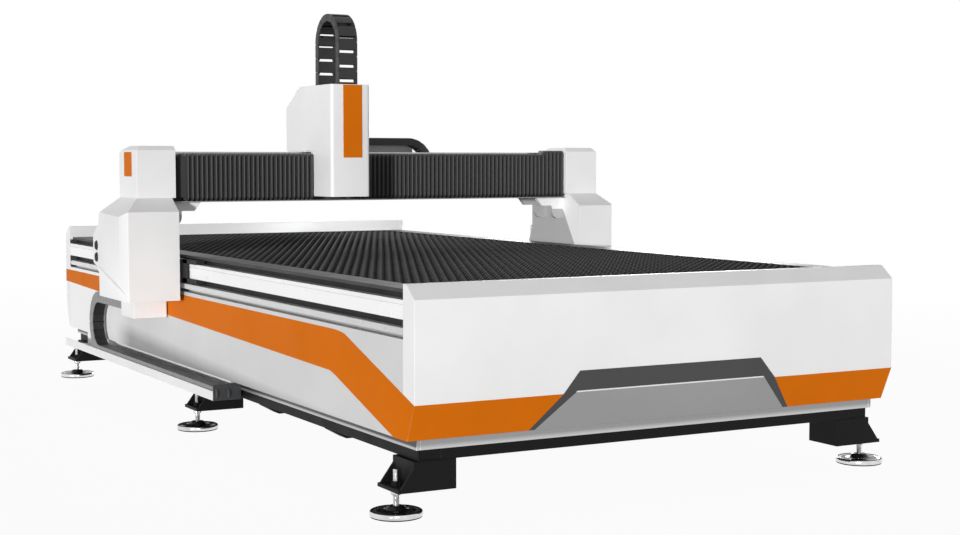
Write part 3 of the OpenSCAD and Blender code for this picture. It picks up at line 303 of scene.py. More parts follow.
def soften(node, name, material, width):
    """The shape of a CAD node with its triangles merged, its flat faces joined, hollow ones cut into convex
    ones, and its edges rounded."""
    source = frame["nodes"][node]
    mesh = bpy.data.meshes.new(name)
    shape = bmesh.new()
    shape.from_mesh(source.data)
    bmesh.ops.remove_doubles(shape, verts=shape.verts, dist=MERGE)
    bmesh.ops.dissolve_limit(shape, angle_limit=FLAT_ANGLE, verts=shape.verts, edges=shape.edges)
    bmesh.ops.connect_verts_concave(shape, faces=shape.faces)
    shape.to_mesh(mesh)
    shape.free()
    for leftover in ("custom_normal", "sharp_edge", "sharp_face"):
        if leftover in mesh.attributes:
            mesh.attributes.remove(mesh.attributes[leftover])
    mesh.materials.clear()
    mesh.materials.append(material)
    mesh.polygons.foreach_set("material_index", np.zeros(len(mesh.polygons), np.int32))
    mesh.polygons.foreach_set("use_smooth", np.ones(len(mesh.polygons), bool))
    made = bpy.data.objects.new(name, mesh)
    bpy.context.scene.collection.objects.link(made)
    rounding = made.modifiers.new("rounded_edges", "BEVEL")
    rounding.width = width
    rounding.segments = BEVEL_STEPS
    rounding.limit_method = "ANGLE"
    rounding.angle_limit = BEVEL_ANGLE
    rounding.harden_normals = True
    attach(made, source["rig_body"])
    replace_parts(made, node)
    return made


frame_black = powder_coat("frame_black", (0.007, 0.007, 0.0075), dull=0.5, peel=0.3, chips=0.01, sheen=0.1)
soften("base_frame", "base_tubes", frame_black, TUBE_ROUNDING)
soften("foot_brackets", "bracket_weldments", frame_black, PLATE_ROUNDING)

# Levelling feet: a chrome pad with a bright rolled rim on a rubber sole, its top painted black as a painted
# reflection of the dark frame above it, and a threaded stem that screws through the bracket and carries it on
# a hexagon nut. Painted plugs close the ends of the side tubes.
SEAM_MERGE = 1e-6
PAD_SIDES = 64
STEM_RADIUS = 0.010
STEM_PITCH = 0.0025
STEM_DEPTH = 0.0011
PAD_RADIUS = 0.084
PAD_HEIGHT = 0.022
RIM_TOP = 0.0195
RIM_ROUND = 0.004
RIM_ROLL = 0.006
RIM_WIDTH = 0.013
GUTTER_DEPTH = 0.003
PAINT_EDGE = 0.0005
SOLE_HEIGHT = 0.004
SOLE_INSET = 0.003
SOLE_EDGE = 0.001
CAP_RADIUS = 0.030
CAP_TOP = 0.036
CAP_FLARE = 0.006
CAP_FOOT = 0.004
CAP_EDGE = 0.001
CAP_SHOULDER = 0.005
CAP_ROUND = 0.012
NUT_RADIUS = 0.017
NUT_HEIGHT = 0.016
NUT_TOP = 0.085
NUT_FACE = 0.88
NUT_CUT = 0.22
STEM_SUNK = 0.004
TUBE_WIDTH = 0.080
TUBE_HEIGHT = 0.070
TUBE_WALL = 0.005
PLUG_LENGTH = 0.012
PLUG_SET = 0.0008
PLUG_GAP = 0.0002


def grid_faces(rows, columns):
    """Quads over a grid numbered row by row whose columns close on themselves."""
    row, column = np.mgrid[0 : rows - 1, 0:columns]
    following = (column + 1) % columns
    corners = (row * columns + column, row * columns + following, (row + 1) * columns + following)
    return np.stack([*corners, (row + 1) * columns + column], -1).reshape(-1, 4)


def new_piece(name, points, faces, material, slot, body=None, smooth=True, merge=True):
    """A mesh object at the origin from points and faces, with doubles merged so that poles and seams
    close."""
    mesh = bpy.data.meshes.new(name)
    mesh.from_pydata(np.asarray(points).tolist(), [], [list(map(int, face)) for face in faces])
    shape = bmesh.new()
    shape.from_mesh(mesh)
    if merge:
        bmesh.ops.remove_doubles(shape, verts=shape.verts, dist=SEAM_MERGE)
    bmesh.ops.recalc_face_normals(shape, faces=shape.faces)
    shape.to_mesh(mesh)
    shape.free()
    mesh.materials.append(material)
    mesh.polygons.foreach_set("use_smooth", np.full(len(mesh.polygons), smooth))
    made = bpy.data.objects.new(name, mesh)
    bpy.context.scene.collection.objects.link(made)
    if body:
        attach(made, body)
    return made


def turned(profile, sides=PAD_SIDES):
    """Turns a profile about z: each (radius, height) becomes a ring of points at even angles."""
    radius, height = np.asarray(profile, float).T
    angle = np.linspace(0, 2 * np.pi, sides, endpoint=False)
    points = np.stack(np.broadcast_arrays(
        radius[:, None] * np.cos(angle), radius[:, None] * np.sin(angle), height[:, None]
    ), -1)
    return points.reshape(-1, 3), grid_faces(len(radius), sides)


def threaded(radius, depth, pitch, low, high, sides=24, per_turn=6):
    """A threaded rod: the radius falls by depth along a zigzag of height over pitch less the angle's turn."""
    height = np.linspace(low, high, int((high - low) / pitch * per_turn))
    angle = np.linspace(0, 2 * np.pi, sides, endpoint=False)
    turn = (height[:, None] / pitch - angle / (2 * np.pi)) % 1
    rings = radius - depth * np.abs(2 * turn - 1)
    rings = np.vstack([np.zeros(sides), rings, np.zeros(sides)])
    height = np.concatenate([[low], height, [high]])[:, None]
    points = np.stack(np.broadcast_arrays(rings * np.cos(angle), rings * np.sin(angle), height), -1)
    return points.reshape(-1, 3), grid_faces(len(height), sides)


def hexagon_nut(radius, low, high, bore, sides=72):
    """A nut: the hexagon's radius at each angle, cut at both ends by a cone, round a plain bore."""
    angle = np.linspace(0, 2 * np.pi, sides, endpoint=False)
    flat = radius * np.cos(np.pi / 6) / np.cos((angle + np.pi / 6) % (np.pi / 3) - np.pi / 6)
    face = np.full(sides, radius * NUT_FACE)
    cut = NUT_CUT * (high - low) * np.clip((flat - face) / (radius - face), 0, 1)
    rings = np.stack([np.full(sides, bore), face, flat, flat, face, np.full(sides, bore)])
    height = np.stack([low + 0 * cut, low + 0 * cut, low + cut, high - cut, high + 0 * cut, high + 0 * cut])
    points = np.stack([rings * np.cos(angle), rings * np.sin(angle), height], -1)
    return points.reshape(-1, 3), grid_faces(len(rings), sides)


def joined(*shapes):
    """Several shapes as one: points in a row, with each shape's faces counted on from the last."""
    starts = np.cumsum([0] + [len(points) for points, _ in shapes])
    faces = []
    for start, (_, own) in zip(starts, shapes):
        faces.extend([int(corner) + start for corner in face] for face in own)
    return np.vstack([points for points, _ in shapes]), faces


def block(low, high):
    """A box from its lowest to its highest corner: the eight corners in counting order, and six faces."""
    corners = np.array(np.meshgrid(*zip(low, high), indexing="ij")).reshape(3, -1).T
    return corners, [(0, 1, 3, 2), (4, 6, 7, 5), (0, 4, 5, 1), (2, 3, 7, 6), (0, 2, 6, 4), (1, 5, 7, 3)]


# The pad's top, above the rim and under the cap, is painted black and not metallic: a painted reflection of
# the dark frame above it.
chrome, tree, shader, place = finish("chrome", Specular_IOR_Level=0.15)
height = add(tree, "SeparateXYZ", Vector=place).outputs["Z"]
over_rim = add(tree, "MapRange", Value=height, From_Min=RIM_TOP, From_Max=RIM_TOP + PAINT_EDGE)
under_cap = add(tree, "MapRange", Value=height, From_Min=CAP_TOP + PAINT_EDGE, From_Max=CAP_TOP)
dark_reflection_top = sum_of(tree, over_rim.outputs["Result"], under_cap.outputs["Result"], operation="MULTIPLY")
smudge = add(tree, "TexNoise", Vector=place, Scale=30.0, Detail=4.0).outputs["Fac"]
bright = ramp(tree, smudge, (0.3, (0.62, 0.62, 0.63, 1)), (0.7, (0.80, 0.80, 0.82, 1)))
tone = add(tree, "MixRGB", Fac=dark_reflection_top, Color1=bright, Color2=(0.008, 0.008, 0.008, 1)).outputs["Color"]
tree.links.new(tone, shader.inputs["Base Color"])
tree.links.new(sum_of(tree, 1, dark_reflection_top, operation="SUBTRACT"), shader.inputs["Metallic"])
gloss = add(tree, "MapRange", Value=smudge, From_Min=0.3, From_Max=0.75, To_Min=0.06, To_Max=0.2)
tree.links.new(gloss.outputs["Result"], shader.inputs["Roughness"])

rubber, tree, shader, place = finish("black_rubber", Roughness=0.75, Specular_IOR_Level=0.3)
grain = add(tree, "TexNoise", Vector=place, Scale=700.0, Detail=3.0).outputs["Fac"]
tone = ramp(tree, grain, (0.3, (0.010, 0.010, 0.010, 1)), (0.7, (0.022, 0.022, 0.022, 1)))
tree.links.new(tone, shader.inputs["Base Color"])
bump = add(tree, "Bump", Height=grain, Strength=0.4, Distance=0.0003)
tree.links.new(bump.outputs["Normal"], shader.inputs["Normal"])

PAD_PROFILE = [
    (0, SOLE_HEIGHT), (PAD_RADIUS - RIM_ROUND, SOLE_HEIGHT),
    (PAD_RADIUS - RIM_ROUND / 4, SOLE_HEIGHT + RIM_ROUND / 4), (PAD_RADIUS, SOLE_HEIGHT + RIM_ROUND),
    (PAD_RADIUS, PAD_HEIGHT - RIM_ROLL), (PAD_RADIUS - RIM_ROLL / 3, PAD_HEIGHT - RIM_ROLL / 3),
    (PAD_RADIUS - RIM_ROLL, PAD_HEIGHT), (PAD_RADIUS - RIM_ROLL - RIM_ROUND, PAD_HEIGHT - GUTTER_DEPTH / 3),
    (PAD_RADIUS - RIM_WIDTH, PAD_HEIGHT - GUTTER_DEPTH), (CAP_RADIUS + CAP_FLARE, PAD_HEIGHT + CAP_EDGE),
    (CAP_RADIUS + CAP_EDGE, PAD_HEIGHT + CAP_FOOT), (CAP_RADIUS - CAP_EDGE, CAP_TOP - CAP_SHOULDER),
    (CAP_RADIUS - CAP_ROUND / 2, CAP_TOP - CAP_EDGE), (CAP_RADIUS - CAP_ROUND, CAP_TOP), (0, CAP_TOP),
]
SOLE_PROFILE = [
    (0, 0), (PAD_RADIUS - 2 * SOLE_INSET, 0), (PAD_RADIUS - SOLE_INSET, SOLE_EDGE),
    (PAD_RADIUS - SOLE_INSET, SOLE_HEIGHT), (0, SOLE_HEIGHT),
]

low, high = (np.array(end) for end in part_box("base_frame"))
outer = high - (TUBE_WALL, PLUG_SET, TUBE_WALL)
inner = high - (TUBE_WIDTH - TUBE_WALL, PLUG_SET + PLUG_LENGTH, TUBE_HEIGHT - TUBE_WALL)
plugs = []
for side in (-1, 1):
    for end in (-1, 1):
        ends = outer * (side, end, 1), inner * (side, end, 1)
        plugs.append(block(np.minimum(*ends) + PLUG_GAP, np.maximum(*ends) - PLUG_GAP))
new_piece("tube_end_plugs", *joined(*plugs), frame_black, "black_paint", "table", smooth=False)

for corner in ("front_left", "front_right", "middle_left", "middle_right", "rear_left", "rear_right"):
    low, high = (np.array(end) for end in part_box("foot_" + corner))
    centre = np.array([(low[0] + high[0]) / 2, (low[1] + high[1]) / 2, 0])
    points, faces = joined(
        turned(PAD_PROFILE),
        threaded(STEM_RADIUS, STEM_DEPTH, STEM_PITCH, CAP_TOP - STEM_SUNK, high[2]),
        hexagon_nut(NUT_RADIUS, NUT_TOP - NUT_HEIGHT, NUT_TOP, STEM_RADIUS - STEM_DEPTH),
    )
    stem = new_piece("levelling_foot_" + corner, points + centre, faces, chrome, "chrome", "foot_" + corner)
    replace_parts(stem, "foot_" + corner)
    points, faces = turned(SOLE_PROFILE)
    new_piece("foot_sole_" + corner, points + centre, faces, rubber, "rubber", "foot_" + corner)

# The bed frame and the slag tray: side beams on posts, bearers with slotted combs for the slats, and a
# shallow steel tray on the base that catches slag. The frame is grey primer, black from the racks up.
PRIMER_TOP = 0.576
PRIMER_SOFT = 0.001


def two_tone(material, weights, limit, soft, colour):
    """Gives a material a second colour where the weighted sum of the Object coordinates is under a limit."""
    tree = material.node_tree
    shader = tree.nodes["Principled BSDF"]
    own = shader.inputs["Base Color"].links[0].from_socket
    reach = add(tree, "VectorMath", operation="DOT_PRODUCT", Vector=add(tree, "TexCoord").outputs["Object"])
    reach.inputs[1].default_value = weights
    over = add(tree, "MapRange", Value=reach.outputs["Value"], From_Min=limit, From_Max=limit + soft)
    mixed = add(tree, "MixRGB", Fac=over.outputs["Result"], Color1=shaded(colour, 1), Color2=own)
    tree.links.new(mixed.outputs["Color"], shader.inputs["Base Color"])


tray_grey = powder_coat("slag_tray_grey", (0.055, 0.055, 0.058), dull=0.6, peel=0.4, chips=0.05)
bed_coat = powder_coat("bed_frame_coat", (0.016, 0.016, 0.017), dull=0.5, peel=0.3, chips=0.02, sheen=0.1)
two_tone(bed_coat, (0, 0, 1), PRIMER_TOP, PRIMER_SOFT, (0.42, 0.42, 0.425))
paint_node("bed_frame", bed_coat)
paint_node("slag_tray", tray_grey)

# The lip: a steel strip screwed round the frame under the panels, brushed along its length. A painted
# highlight lightens its lower edge, and its upper part is left darker as painted shade under the panels. On
# the long sides a painted shadow band parts it from the panels.
LIP_ROUNDING = 0.0012
LIP_LIT_BAND_TOP = 0.221
LIP_LIT_BAND_BLEND = 0.013
SHADE_BAND_LOW = 0.2245
SHADE_BAND_BLEND = 0.004
SHADE_BAND_STEEP = 10
LINE_ALONG = 6.0
LINE_ACROSS = 420.0


def brushed(name, colour, dull, along):
    """Brushed steel: noise squeezed across the brushing axis (0 for x, 1 for y, 2 for z) shifts the gloss and
    cuts fine lines."""
    made, tree, shader, place = finish(name, Metallic=1.0)
    stretch = tuple(LINE_ALONG if axis == along else LINE_ACROSS for axis in range(3))
    squeeze = add(tree, "Mapping", Vector=place, Scale=stretch)
    lines = add(tree, "TexNoise", Vector=squeeze.outputs["Vector"], Scale=1.0, Detail=3.0).outputs["Fac"]
    tone = ramp(tree, lines, (0.3, shaded(colour, 0.82)), (0.7, shaded(colour, 1.08)))
    tree.links.new(tone, shader.inputs["Base Color"])
    gloss = add(
        tree, "MapRange", Value=lines, From_Min=0.3, From_Max=0.7, To_Min=dull - 0.08, To_Max=dull + 0.1
    )
    tree.links.new(gloss.outputs["Result"], shader.inputs["Roughness"])
    bump = add(tree, "Bump", Height=lines, Strength=0.12, Distance=0.0002)
    tree.links.new(bump.outputs["Normal"], shader.inputs["Normal"])
    return made


lip_steel = brushed("lip_steel", (0.335, 0.330, 0.335), dull=0.42, along=1)
# Painted highlight: the steel is lighter below this height and stays darker above it, as painted shade under
# the panels.
two_tone(lip_steel, (0, 0, 1), LIP_LIT_BAND_TOP, LIP_LIT_BAND_BLEND, (0.55, 0.55, 0.55))
# Painted shadow: a dark band along the top of the lip's long sides, under the panels' edge.
shade_band_limit = -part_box("skirt_lip")[1][0] * SHADE_BAND_STEEP - SHADE_BAND_LOW - SHADE_BAND_BLEND
for side in (-1, 1):
    two_tone(lip_steel, (-side * SHADE_BAND_STEEP, 0, -1), shade_band_limit, SHADE_BAND_BLEND, (0.10, 0.10, 0.10))
soften("skirt_lip", "skirt_lip_strip", lip_steel, LIP_ROUNDING)

# Panels: folded sheet steel in white powder coat. The two end boxes have a bevelled top and a skirt that
# slopes in; the long side panels hang under the rails. Their coat is a darker copy of the white as painted
# shade, turning back to full white towards the rear as painted light, and painted shade darkens the left one
# low down along the cable tray.
SHEET_ROUNDING = 0.0014
PANEL_ROUNDING = 0.0012
PANEL_WHITE = (0.86, 0.86, 0.855)
TRAY_SHADE_WEIGHTS = (0.5, -0.04, 1)
TRAY_SHADE_HEIGHT = 0.260
TRAY_SHADE_BLEND = 0.060
REAR_LIGHT_START = 1.15
REAR_LIGHT_FADE = 0.25
white_coat = powder_coat("white_coat", PANEL_WHITE, dull=0.42, peel=0.22)
# A darker copy of the white coat: painted shade on the long sides.
side_shaded_coat = powder_coat("side_panel_shaded_coat", (0.65, 0.65, 0.648), dull=0.42, peel=0.22)
# Painted shade: the left panel darkens low down along the cable tray.
tray_shade_limit = TRAY_SHADE_HEIGHT + TRAY_SHADE_WEIGHTS[0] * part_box("side_panels")[0][0]
two_tone(side_shaded_coat, TRAY_SHADE_WEIGHTS, tray_shade_limit, TRAY_SHADE_BLEND, (0.30, 0.30, 0.30))
# Painted light: towards the rear the side coat turns back to the full white.
two_tone(side_shaded_coat, (0, -1, 0), -REAR_LIGHT_START, REAR_LIGHT_FADE, PANEL_WHITE)
soften("front_panel", "front_end_box", white_coat, SHEET_ROUNDING)
soften("rear_panel", "rear_end_box", white_coat, SHEET_ROUNDING)
soften("side_panels", "long_side_panels", side_shaded_coat, PANEL_ROUNDING)

# Colour bands: orange sheets over the skirt and the sides, a dark frame and a grey sheet set in the front.
# They are thin skins riveted on from behind, so only their faces and fine edges show. A painted highlight
# lightens the grey sheet's top edge.
BAND_EDGE = 0.0004
INSET_HIGHLIGHT_DEPTH = 0.004
orange_coat = powder_coat("orange_coat", (0.68, 0.160, 0.005), dull=0.45, peel=0.2, sheen=0.02)
band_grey = powder_coat("inset_dark_grey", (0.062, 0.062, 0.064), dull=0.45, sheen=0.2)
inset_grey = powder_coat("inset_grey", (0.32, 0.32, 0.323), dull=0.40, sheen=0.2)
inset_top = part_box("inset_panel")[1][2]
# Painted highlight along the grey sheet's top edge.
two_tone(inset_grey, (0, 0, -1), INSET_HIGHLIGHT_DEPTH - inset_top, PAINT_EDGE, (0.80, 0.80, 0.80))
soften("side_stripes", "side_bands", orange_coat, BAND_EDGE)
soften("end_trim", "end_bands", orange_coat, BAND_EDGE)
soften("inset_frame", "front_inset_frame", band_grey, BAND_EDGE)
soften("inset_panel", "front_inset_sheet", inset_grey, BAND_EDGE)

# Rails, racks and bed edges: painted guide rails with a fine grey line along them as painted shade of a
# groove, ground racks below with their teeth outward, pinions under the legs, and black strips that close the
# top of the side beams.
RAIL_GROOVE_SHADE_LOW = 0.664
RAIL_GROOVE_SHADE_WIDTH = 0.002
RAIL_WHITE = (0.93, 0.93, 0.93)
rail_white = powder_coat("rail_white", RAIL_WHITE, dull=0.3, peel=0.05)
# A grey line along the rail: painted shade of a groove.
two_tone(rail_white, (0, 0, 1), RAIL_GROOVE_SHADE_LOW + RAIL_GROOVE_SHADE_WIDTH, PAINT_EDGE, (0.62, 0.62, 0.62))
two_tone(rail_white, (0, 0, 1), RAIL_GROOVE_SHADE_LOW, PAINT_EDGE, RAIL_WHITE)
rack_steel = brushed("rack_steel", (0.46, 0.46, 0.46), dull=0.6, along=1)
gear_steel = brushed("gear_steel", (0.45, 0.45, 0.47), dull=0.30, along=2)
edge_black = powder_coat("edge_black", (0.016, 0.016, 0.017), dull=0.5, peel=0.35, chips=0.03)
paint_node("guide_rails", rail_white)
paint_node("drive_racks", rack_steel)
paint_node("pinion_left", gear_steel)
paint_node("pinion_right", gear_steel)
soften("bed_edges", "bed_edge_strips", edge_black, PLATE_ROUNDING)

# Slats: laser-cut strips of raw steel standing on edge with pointed teeth. Mill scale darkens them, and heat
# and splashes of slag mark their tips.
TIP_LENGTH = 0.012
slat_steel, tree, shader, place = finish("slat_steel", Metallic=0.55, Specular_IOR_Level=0.4)
scale = add(tree, "TexNoise", Vector=place, Scale=14.0, Detail=6.0, Roughness=0.65).outputs["Fac"]
plain = ramp(
    tree, scale, (0.30, (0.018, 0.018, 0.019, 1)), (0.52, (0.034, 0.034, 0.035, 1)),
    (0.72, (0.060, 0.056, 0.052, 1)),
)
tip_height = add(tree, "SeparateXYZ", Vector=place).outputs["Z"]
slat_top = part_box("slats")[1][2]
near_tip = add(tree, "MapRange", Value=tip_height, From_Min=slat_top - TIP_LENGTH, From_Max=slat_top)
tips = add(tree, "MixRGB", Fac=near_tip.outputs["Result"], Color1=plain, Color2=(0.085, 0.085, 0.088, 1))
tree.links.new(tips.outputs["Color"], shader.inputs["Base Color"])
gloss = add(tree, "MapRange", Value=scale, From_Min=0.3, From_Max=0.7, To_Min=0.45, To_Max=0.7)
tree.links.new(gloss.outputs["Result"], shader.inputs["Roughness"])
pits = add(tree, "TexNoise", Vector=place, Scale=240.0, Detail=4.0).outputs["Fac"]
bump = add(tree, "Bump", Height=pits, Strength=0.5, Distance=0.0006)
tree.links.new(bump.outputs["Normal"], shader.inputs["Normal"])
paint_node("slats", slat_steel)

# The cable tray on the left: a folded white channel hooked on the lip, with a dark grey end plate in front.
# A white bracket under the left leg pulls the chain along it.
TRAY_PLATE = 0.003
TRAY_PLATE_EDGE = 0.0002
tray_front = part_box("cable_tray")[0][1]
tray_coat = powder_coat("cable_tray_coat", (0.85, 0.85, 0.845), dull=0.42)
two_tone(tray_coat, (0, 1, 0), tray_front + TRAY_PLATE, TRAY_PLATE_EDGE, (0.030, 0.031, 0.033))
soften("cable_tray", "cable_tray_channel", tray_coat, PANEL_ROUNDING)
soften("chain_hanger", "chain_bracket", white_coat, SHEET_ROUNDING)

# Link chains: moulded links with flat side plates that lap at round tongues on pins, closed by an inner and
# an outer bar. A run is fixed at one end, and its other end rolls into a bend that moves at half speed.
PLATE_SHARE = 0.055
PLATE_LENGTH = 0.985
PLATE_CORNER = 0.14
TONGUE_SIZE = 0.8
TONGUE_ROUND = 0.399
TONGUE_PLACE = 0.02
PIN_SIZE = 0.3
PIN_ROUND = 0.149
PIN_BACK = 0.34
PIN_PROUD = 0.0008
BAR_THICKNESS = 0.004
BAR_ROUND = 0.3


def rounded_bar(length, height, radius, steps=4, along=5):
    """A closed outline round a rectangle with round corners: four quarter circles, and points along the two
    long edges so that they can follow a bend."""
    angle = np.linspace(0, np.pi / 2, steps)
    edge = np.linspace(1, -1, along + 2)[1:-1] * (length / 2 - radius)
    parts = []
    for turn, (y, z) in enumerate(((1, 1), (-1, 1), (-1, -1), (1, -1))):
        bow = angle + turn * np.pi / 2
        centre = y * (length / 2 - radius), z * (height / 2 - radius)
        parts.append(np.column_stack([centre[0] + radius * np.cos(bow), centre[1] + radius * np.sin(bow)]))
        if turn % 2 == 0:
            parts.append(np.column_stack([z * edge, np.full(along, z * height / 2)]))
    return np.vstack(parts)


def carried(outline, low, high):
    """Carries a closed outline across the chain from low to high, with a flat cap at each end: rows of
    (across, along, outward)."""
    count = len(outline)
    points = np.vstack([np.column_stack([np.full(count, x), outline]) for x in (low, high)])
    caps = [np.arange(count)[::-1], np.arange(count) + count]
    return points, [*grid_faces(2, count), *caps]


def chain_links(count, pitch, width, height, cover, phase):
    """Links in a row along the chain: two side plates with pin heads and inner tongues, and two bars over
    the share cover of the pitch, a share phase further on. Gives points, faces and 1 for each point of a bar
    or a tongue."""
    thick = PLATE_SHARE * width
    half = width / 2 - PIN_PROUD
    plate = rounded_bar(pitch * PLATE_LENGTH, height, height * PLATE_CORNER)
    tongue = rounded_bar(height * TONGUE_SIZE, height * TONGUE_SIZE, height * TONGUE_ROUND, along=1)
    pin = rounded_bar(height * PIN_SIZE, height * PIN_SIZE, height * PIN_ROUND, steps=3, along=1)
    bar = rounded_bar(pitch * cover, BAR_THICKNESS, BAR_THICKNESS * BAR_ROUND, steps=2)
    shapes, dark = [], []
    for index in range(count):
        middle = (index + 0.5) * pitch, 0
        start = (index + TONGUE_PLACE) * pitch, 0
        pivot = pin + middle - (PIN_BACK * pitch, 0)
        for way in (-1, 1):
            edge = (middle[0] + phase * pitch, way * (height - BAR_THICKNESS) / 2)
            for outline, near, far, shade in (
                (plate + middle, half - thick, half, 0), (tongue + start, half - 2 * thick, half - thick, 1),
                (pivot, half, width / 2, 0), (bar + edge, thick - half, half - thick, 1),
            ):
                ends = (near, far) if near < 0 else sorted((way * near, way * far))
                shapes.append(carried(outline, *ends))
                dark.append(np.full(len(shapes[-1][0]), shade, np.float32))
    return *joined(*shapes), np.concatenate(dark)


def chain(name, bend, origin, along, outward, count, pitch, width, height, cover, material, phase):
    """Lays links from origin along the chain. With no bend a point is origin + across + along + outward; with
    a bend of radius r the way along becomes the angle s / r about the centre, which lies r inward of
    origin."""
    points, faces, dark = chain_links(count, pitch, width, height, cover, phase)
    origin, along, outward = (np.asarray(v, float) for v in (origin, along, outward))
    x, s, n = points.T[:, :, None]
    across = np.cross(along, outward)
    if bend:
        angle = s / bend
        laid = origin - bend * outward + (bend + n) * (np.cos(angle) * outward + np.sin(angle) * along)
    else:
        laid = origin + s * along + n * outward
    made = new_piece(name, laid + x * across, faces, material, "chain_plastic", smooth=False, merge=False)
    made.data.attributes.new("inside", "FLOAT", "POINT").data.foreach_set("value", dark)
    return made


def straight_run(name, start, end, count, width, height, outward, cover, material, phase=0.0):
    """A run of count links from start to end."""
    way = np.subtract(end, start)
    length = np.linalg.norm(way)
    pitch = length / count
    return chain(name, 0, start, way / length, outward, count, pitch, width, height, cover, material, phase)


def half_turn(name, start, ahead, outward, radius, count, width, height, cover, material, phase=0.0):
    """A bend of count links: a half circle that leaves start in the direction ahead."""
    pitch = np.pi * radius / count
    return chain(name, radius, start, ahead, outward, count, pitch, width, height, cover, material, phase)


def stretched(piece, fixed, moving, start, end, share):
    """Ties a piece to two bodies: its points follow the fixed body at start, and from there take on the
    moving body's travel evenly, up to the share of it at end."""
    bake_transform(piece, fixed, moving, start=start, end=end)
    points = np.zeros(len(piece.data.vertices) * 3, np.float32)
    piece.data.vertices.foreach_get("co", points)
    way = np.subtract(end, start)
    along = (points.reshape(-1, 3) - np.asarray(start)) @ way / (way @ way)
    weights = piece.data.attributes["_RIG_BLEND"]
    weights.data.foreach_set("value", (share * np.clip(along, 0, 1)).astype(np.float32))
    return piece


def chain_plastic(name, side, inside):
    """Moulded nylon: side plates in one colour and the bars between them in another, with a slight bloom in
    both and a fine grain in the bump."""
    made, tree, shader, place = finish(name, Specular_IOR_Level=0.35)
    bloom = add(tree, "TexNoise", Vector=place, Scale=22.0, Detail=4.0).outputs["Fac"]
    tones = [
        ramp(tree, bloom, (0.3, shaded(colour, 0.85)), (0.7, shaded(colour, 1.15)))
        for colour in (side, inside)
    ]
    within = add(tree, "Attribute", attribute_name="inside").outputs["Fac"]
    tone = add(tree, "MixRGB", Fac=within, Color1=tones[0], Color2=tones[1]).outputs["Color"]
    tree.links.new(tone, shader.inputs["Base Color"])
    gloss = add(tree, "MapRange", Value=bloom, From_Min=0.3, From_Max=0.7, To_Min=0.42, To_Max=0.58)
    tree.links.new(gloss.outputs["Result"], shader.inputs["Roughness"])
    grain = add(tree, "TexNoise", Vector=place, Scale=900.0, Detail=2.0).outputs["Fac"]
    bump = add(tree, "Bump", Height=grain, Strength=0.3, Distance=0.0002)
    tree.links.new(bump.outputs["Normal"], shader.inputs["Normal"])
    return made


def run_box(node):
    """Lowest corner, highest corner and middle of a chain node, as arrays."""
    low, high = (np.array(end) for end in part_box(node))
    return low, high, (low + high) / 2


CLOSED = 0.97
HALF_SPEED = 0.5
LONG_LOW_LINKS = 32
LONG_TOP_LINKS = 16
LONG_BEND_LINKS = 8
LINK_GREY = (0.24, 0.24, 0.245)
# The upper run and bend have near-black bars, painted shade inside the loop; the tray run's bars are lighter,
# a lit copy of the same plastic.
chain_shaded_bars = chain_plastic("long_chain_shaded_bars", LINK_GREY, (0.012, 0.012, 0.012))
tray_chain_lit_bars = chain_plastic("tray_chain_lit_bars", LINK_GREY, (0.075, 0.075, 0.077))
chain_black = chain_plastic("chain_black", (0.030, 0.030, 0.031), (0.022, 0.022, 0.023))
low, high, mid = run_box("long_chain_low")
top_low, _, top_mid = run_box("long_chain_top")
size = high[0] - low[0], high[2] - low[2]
near, far = (mid[0], low[1], mid[2]), (mid[0], high[1], mid[2])
piece = straight_run(
    "long_chain_tray_run", near, far, LONG_LOW_LINKS, *size, (0, 0, -1), CLOSED, tray_chain_lit_bars
)
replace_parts(stretched(piece, "table", "gantry", near, far, HALF_SPEED), "long_chain_low")
near, far = (mid[0], top_low[1], top_mid[2]), (mid[0], high[1], top_mid[2])
piece = straight_run("long_chain_upper_run", near, far, LONG_TOP_LINKS, *size, (0, 0, 1), CLOSED, chain_shaded_bars)
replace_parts(stretched(piece, "gantry", "table", near, far, HALF_SPEED), "long_chain_top")
radius = (top_mid[2] - mid[2]) / 2
piece = half_turn(
    "long_chain_half_turn", far, (0, 1, 0), (0, 0, 1), radius, LONG_BEND_LINKS, *size, CLOSED, chain_shaded_bars
)
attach(piece, "long_bend")
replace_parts(piece, "long_chain_bend")

# The gantry beam: a welded box tube, painted dark grey, on a lighter ledge. Ground guide rails are screwed on
# its face and a rack on its top.
LEDGE_ROUNDING = 0.0008
beam_grey = powder_coat("beam_grey", (0.075, 0.075, 0.078), dull=0.5)
ledge_grey = powder_coat("ledge_grey", (0.30, 0.30, 0.305), dull=0.4)
guide_steel = brushed("guide_steel", (0.55, 0.55, 0.57), dull=0.26, along=0)
soften("gantry_beam", "beam_tube", beam_grey, TUBE_ROUNDING)
soften("beam_ledge", "beam_ledge_plate", ledge_grey, LEDGE_ROUNDING)
paint_node("beam_guides", guide_steel)

# Bellows: coated cloth pleated over stiffeners, a U round the front of the beam. One end is screwed to the
# end cover's frame and the other to the head, so the pleats open and close as the head travels.
FOLD_PITCH = 0.021
FOLD_DEPTH = 0.014
FOLD_SAMPLES = 8
FOLD_SHARPNESS = 0.985
CORNER_RADIUS = 0.018
CLOTH_THICKNESS = 0.0008


def open_grid(rows, columns):
    """Quads over a grid numbered row by row, open on all sides."""
    row, column = np.mgrid[0 : rows - 1, 0 : columns - 1]
    first = row * columns + column
    return np.stack([first, first + 1, first + columns + 1, first + columns], -1).reshape(-1, 4)


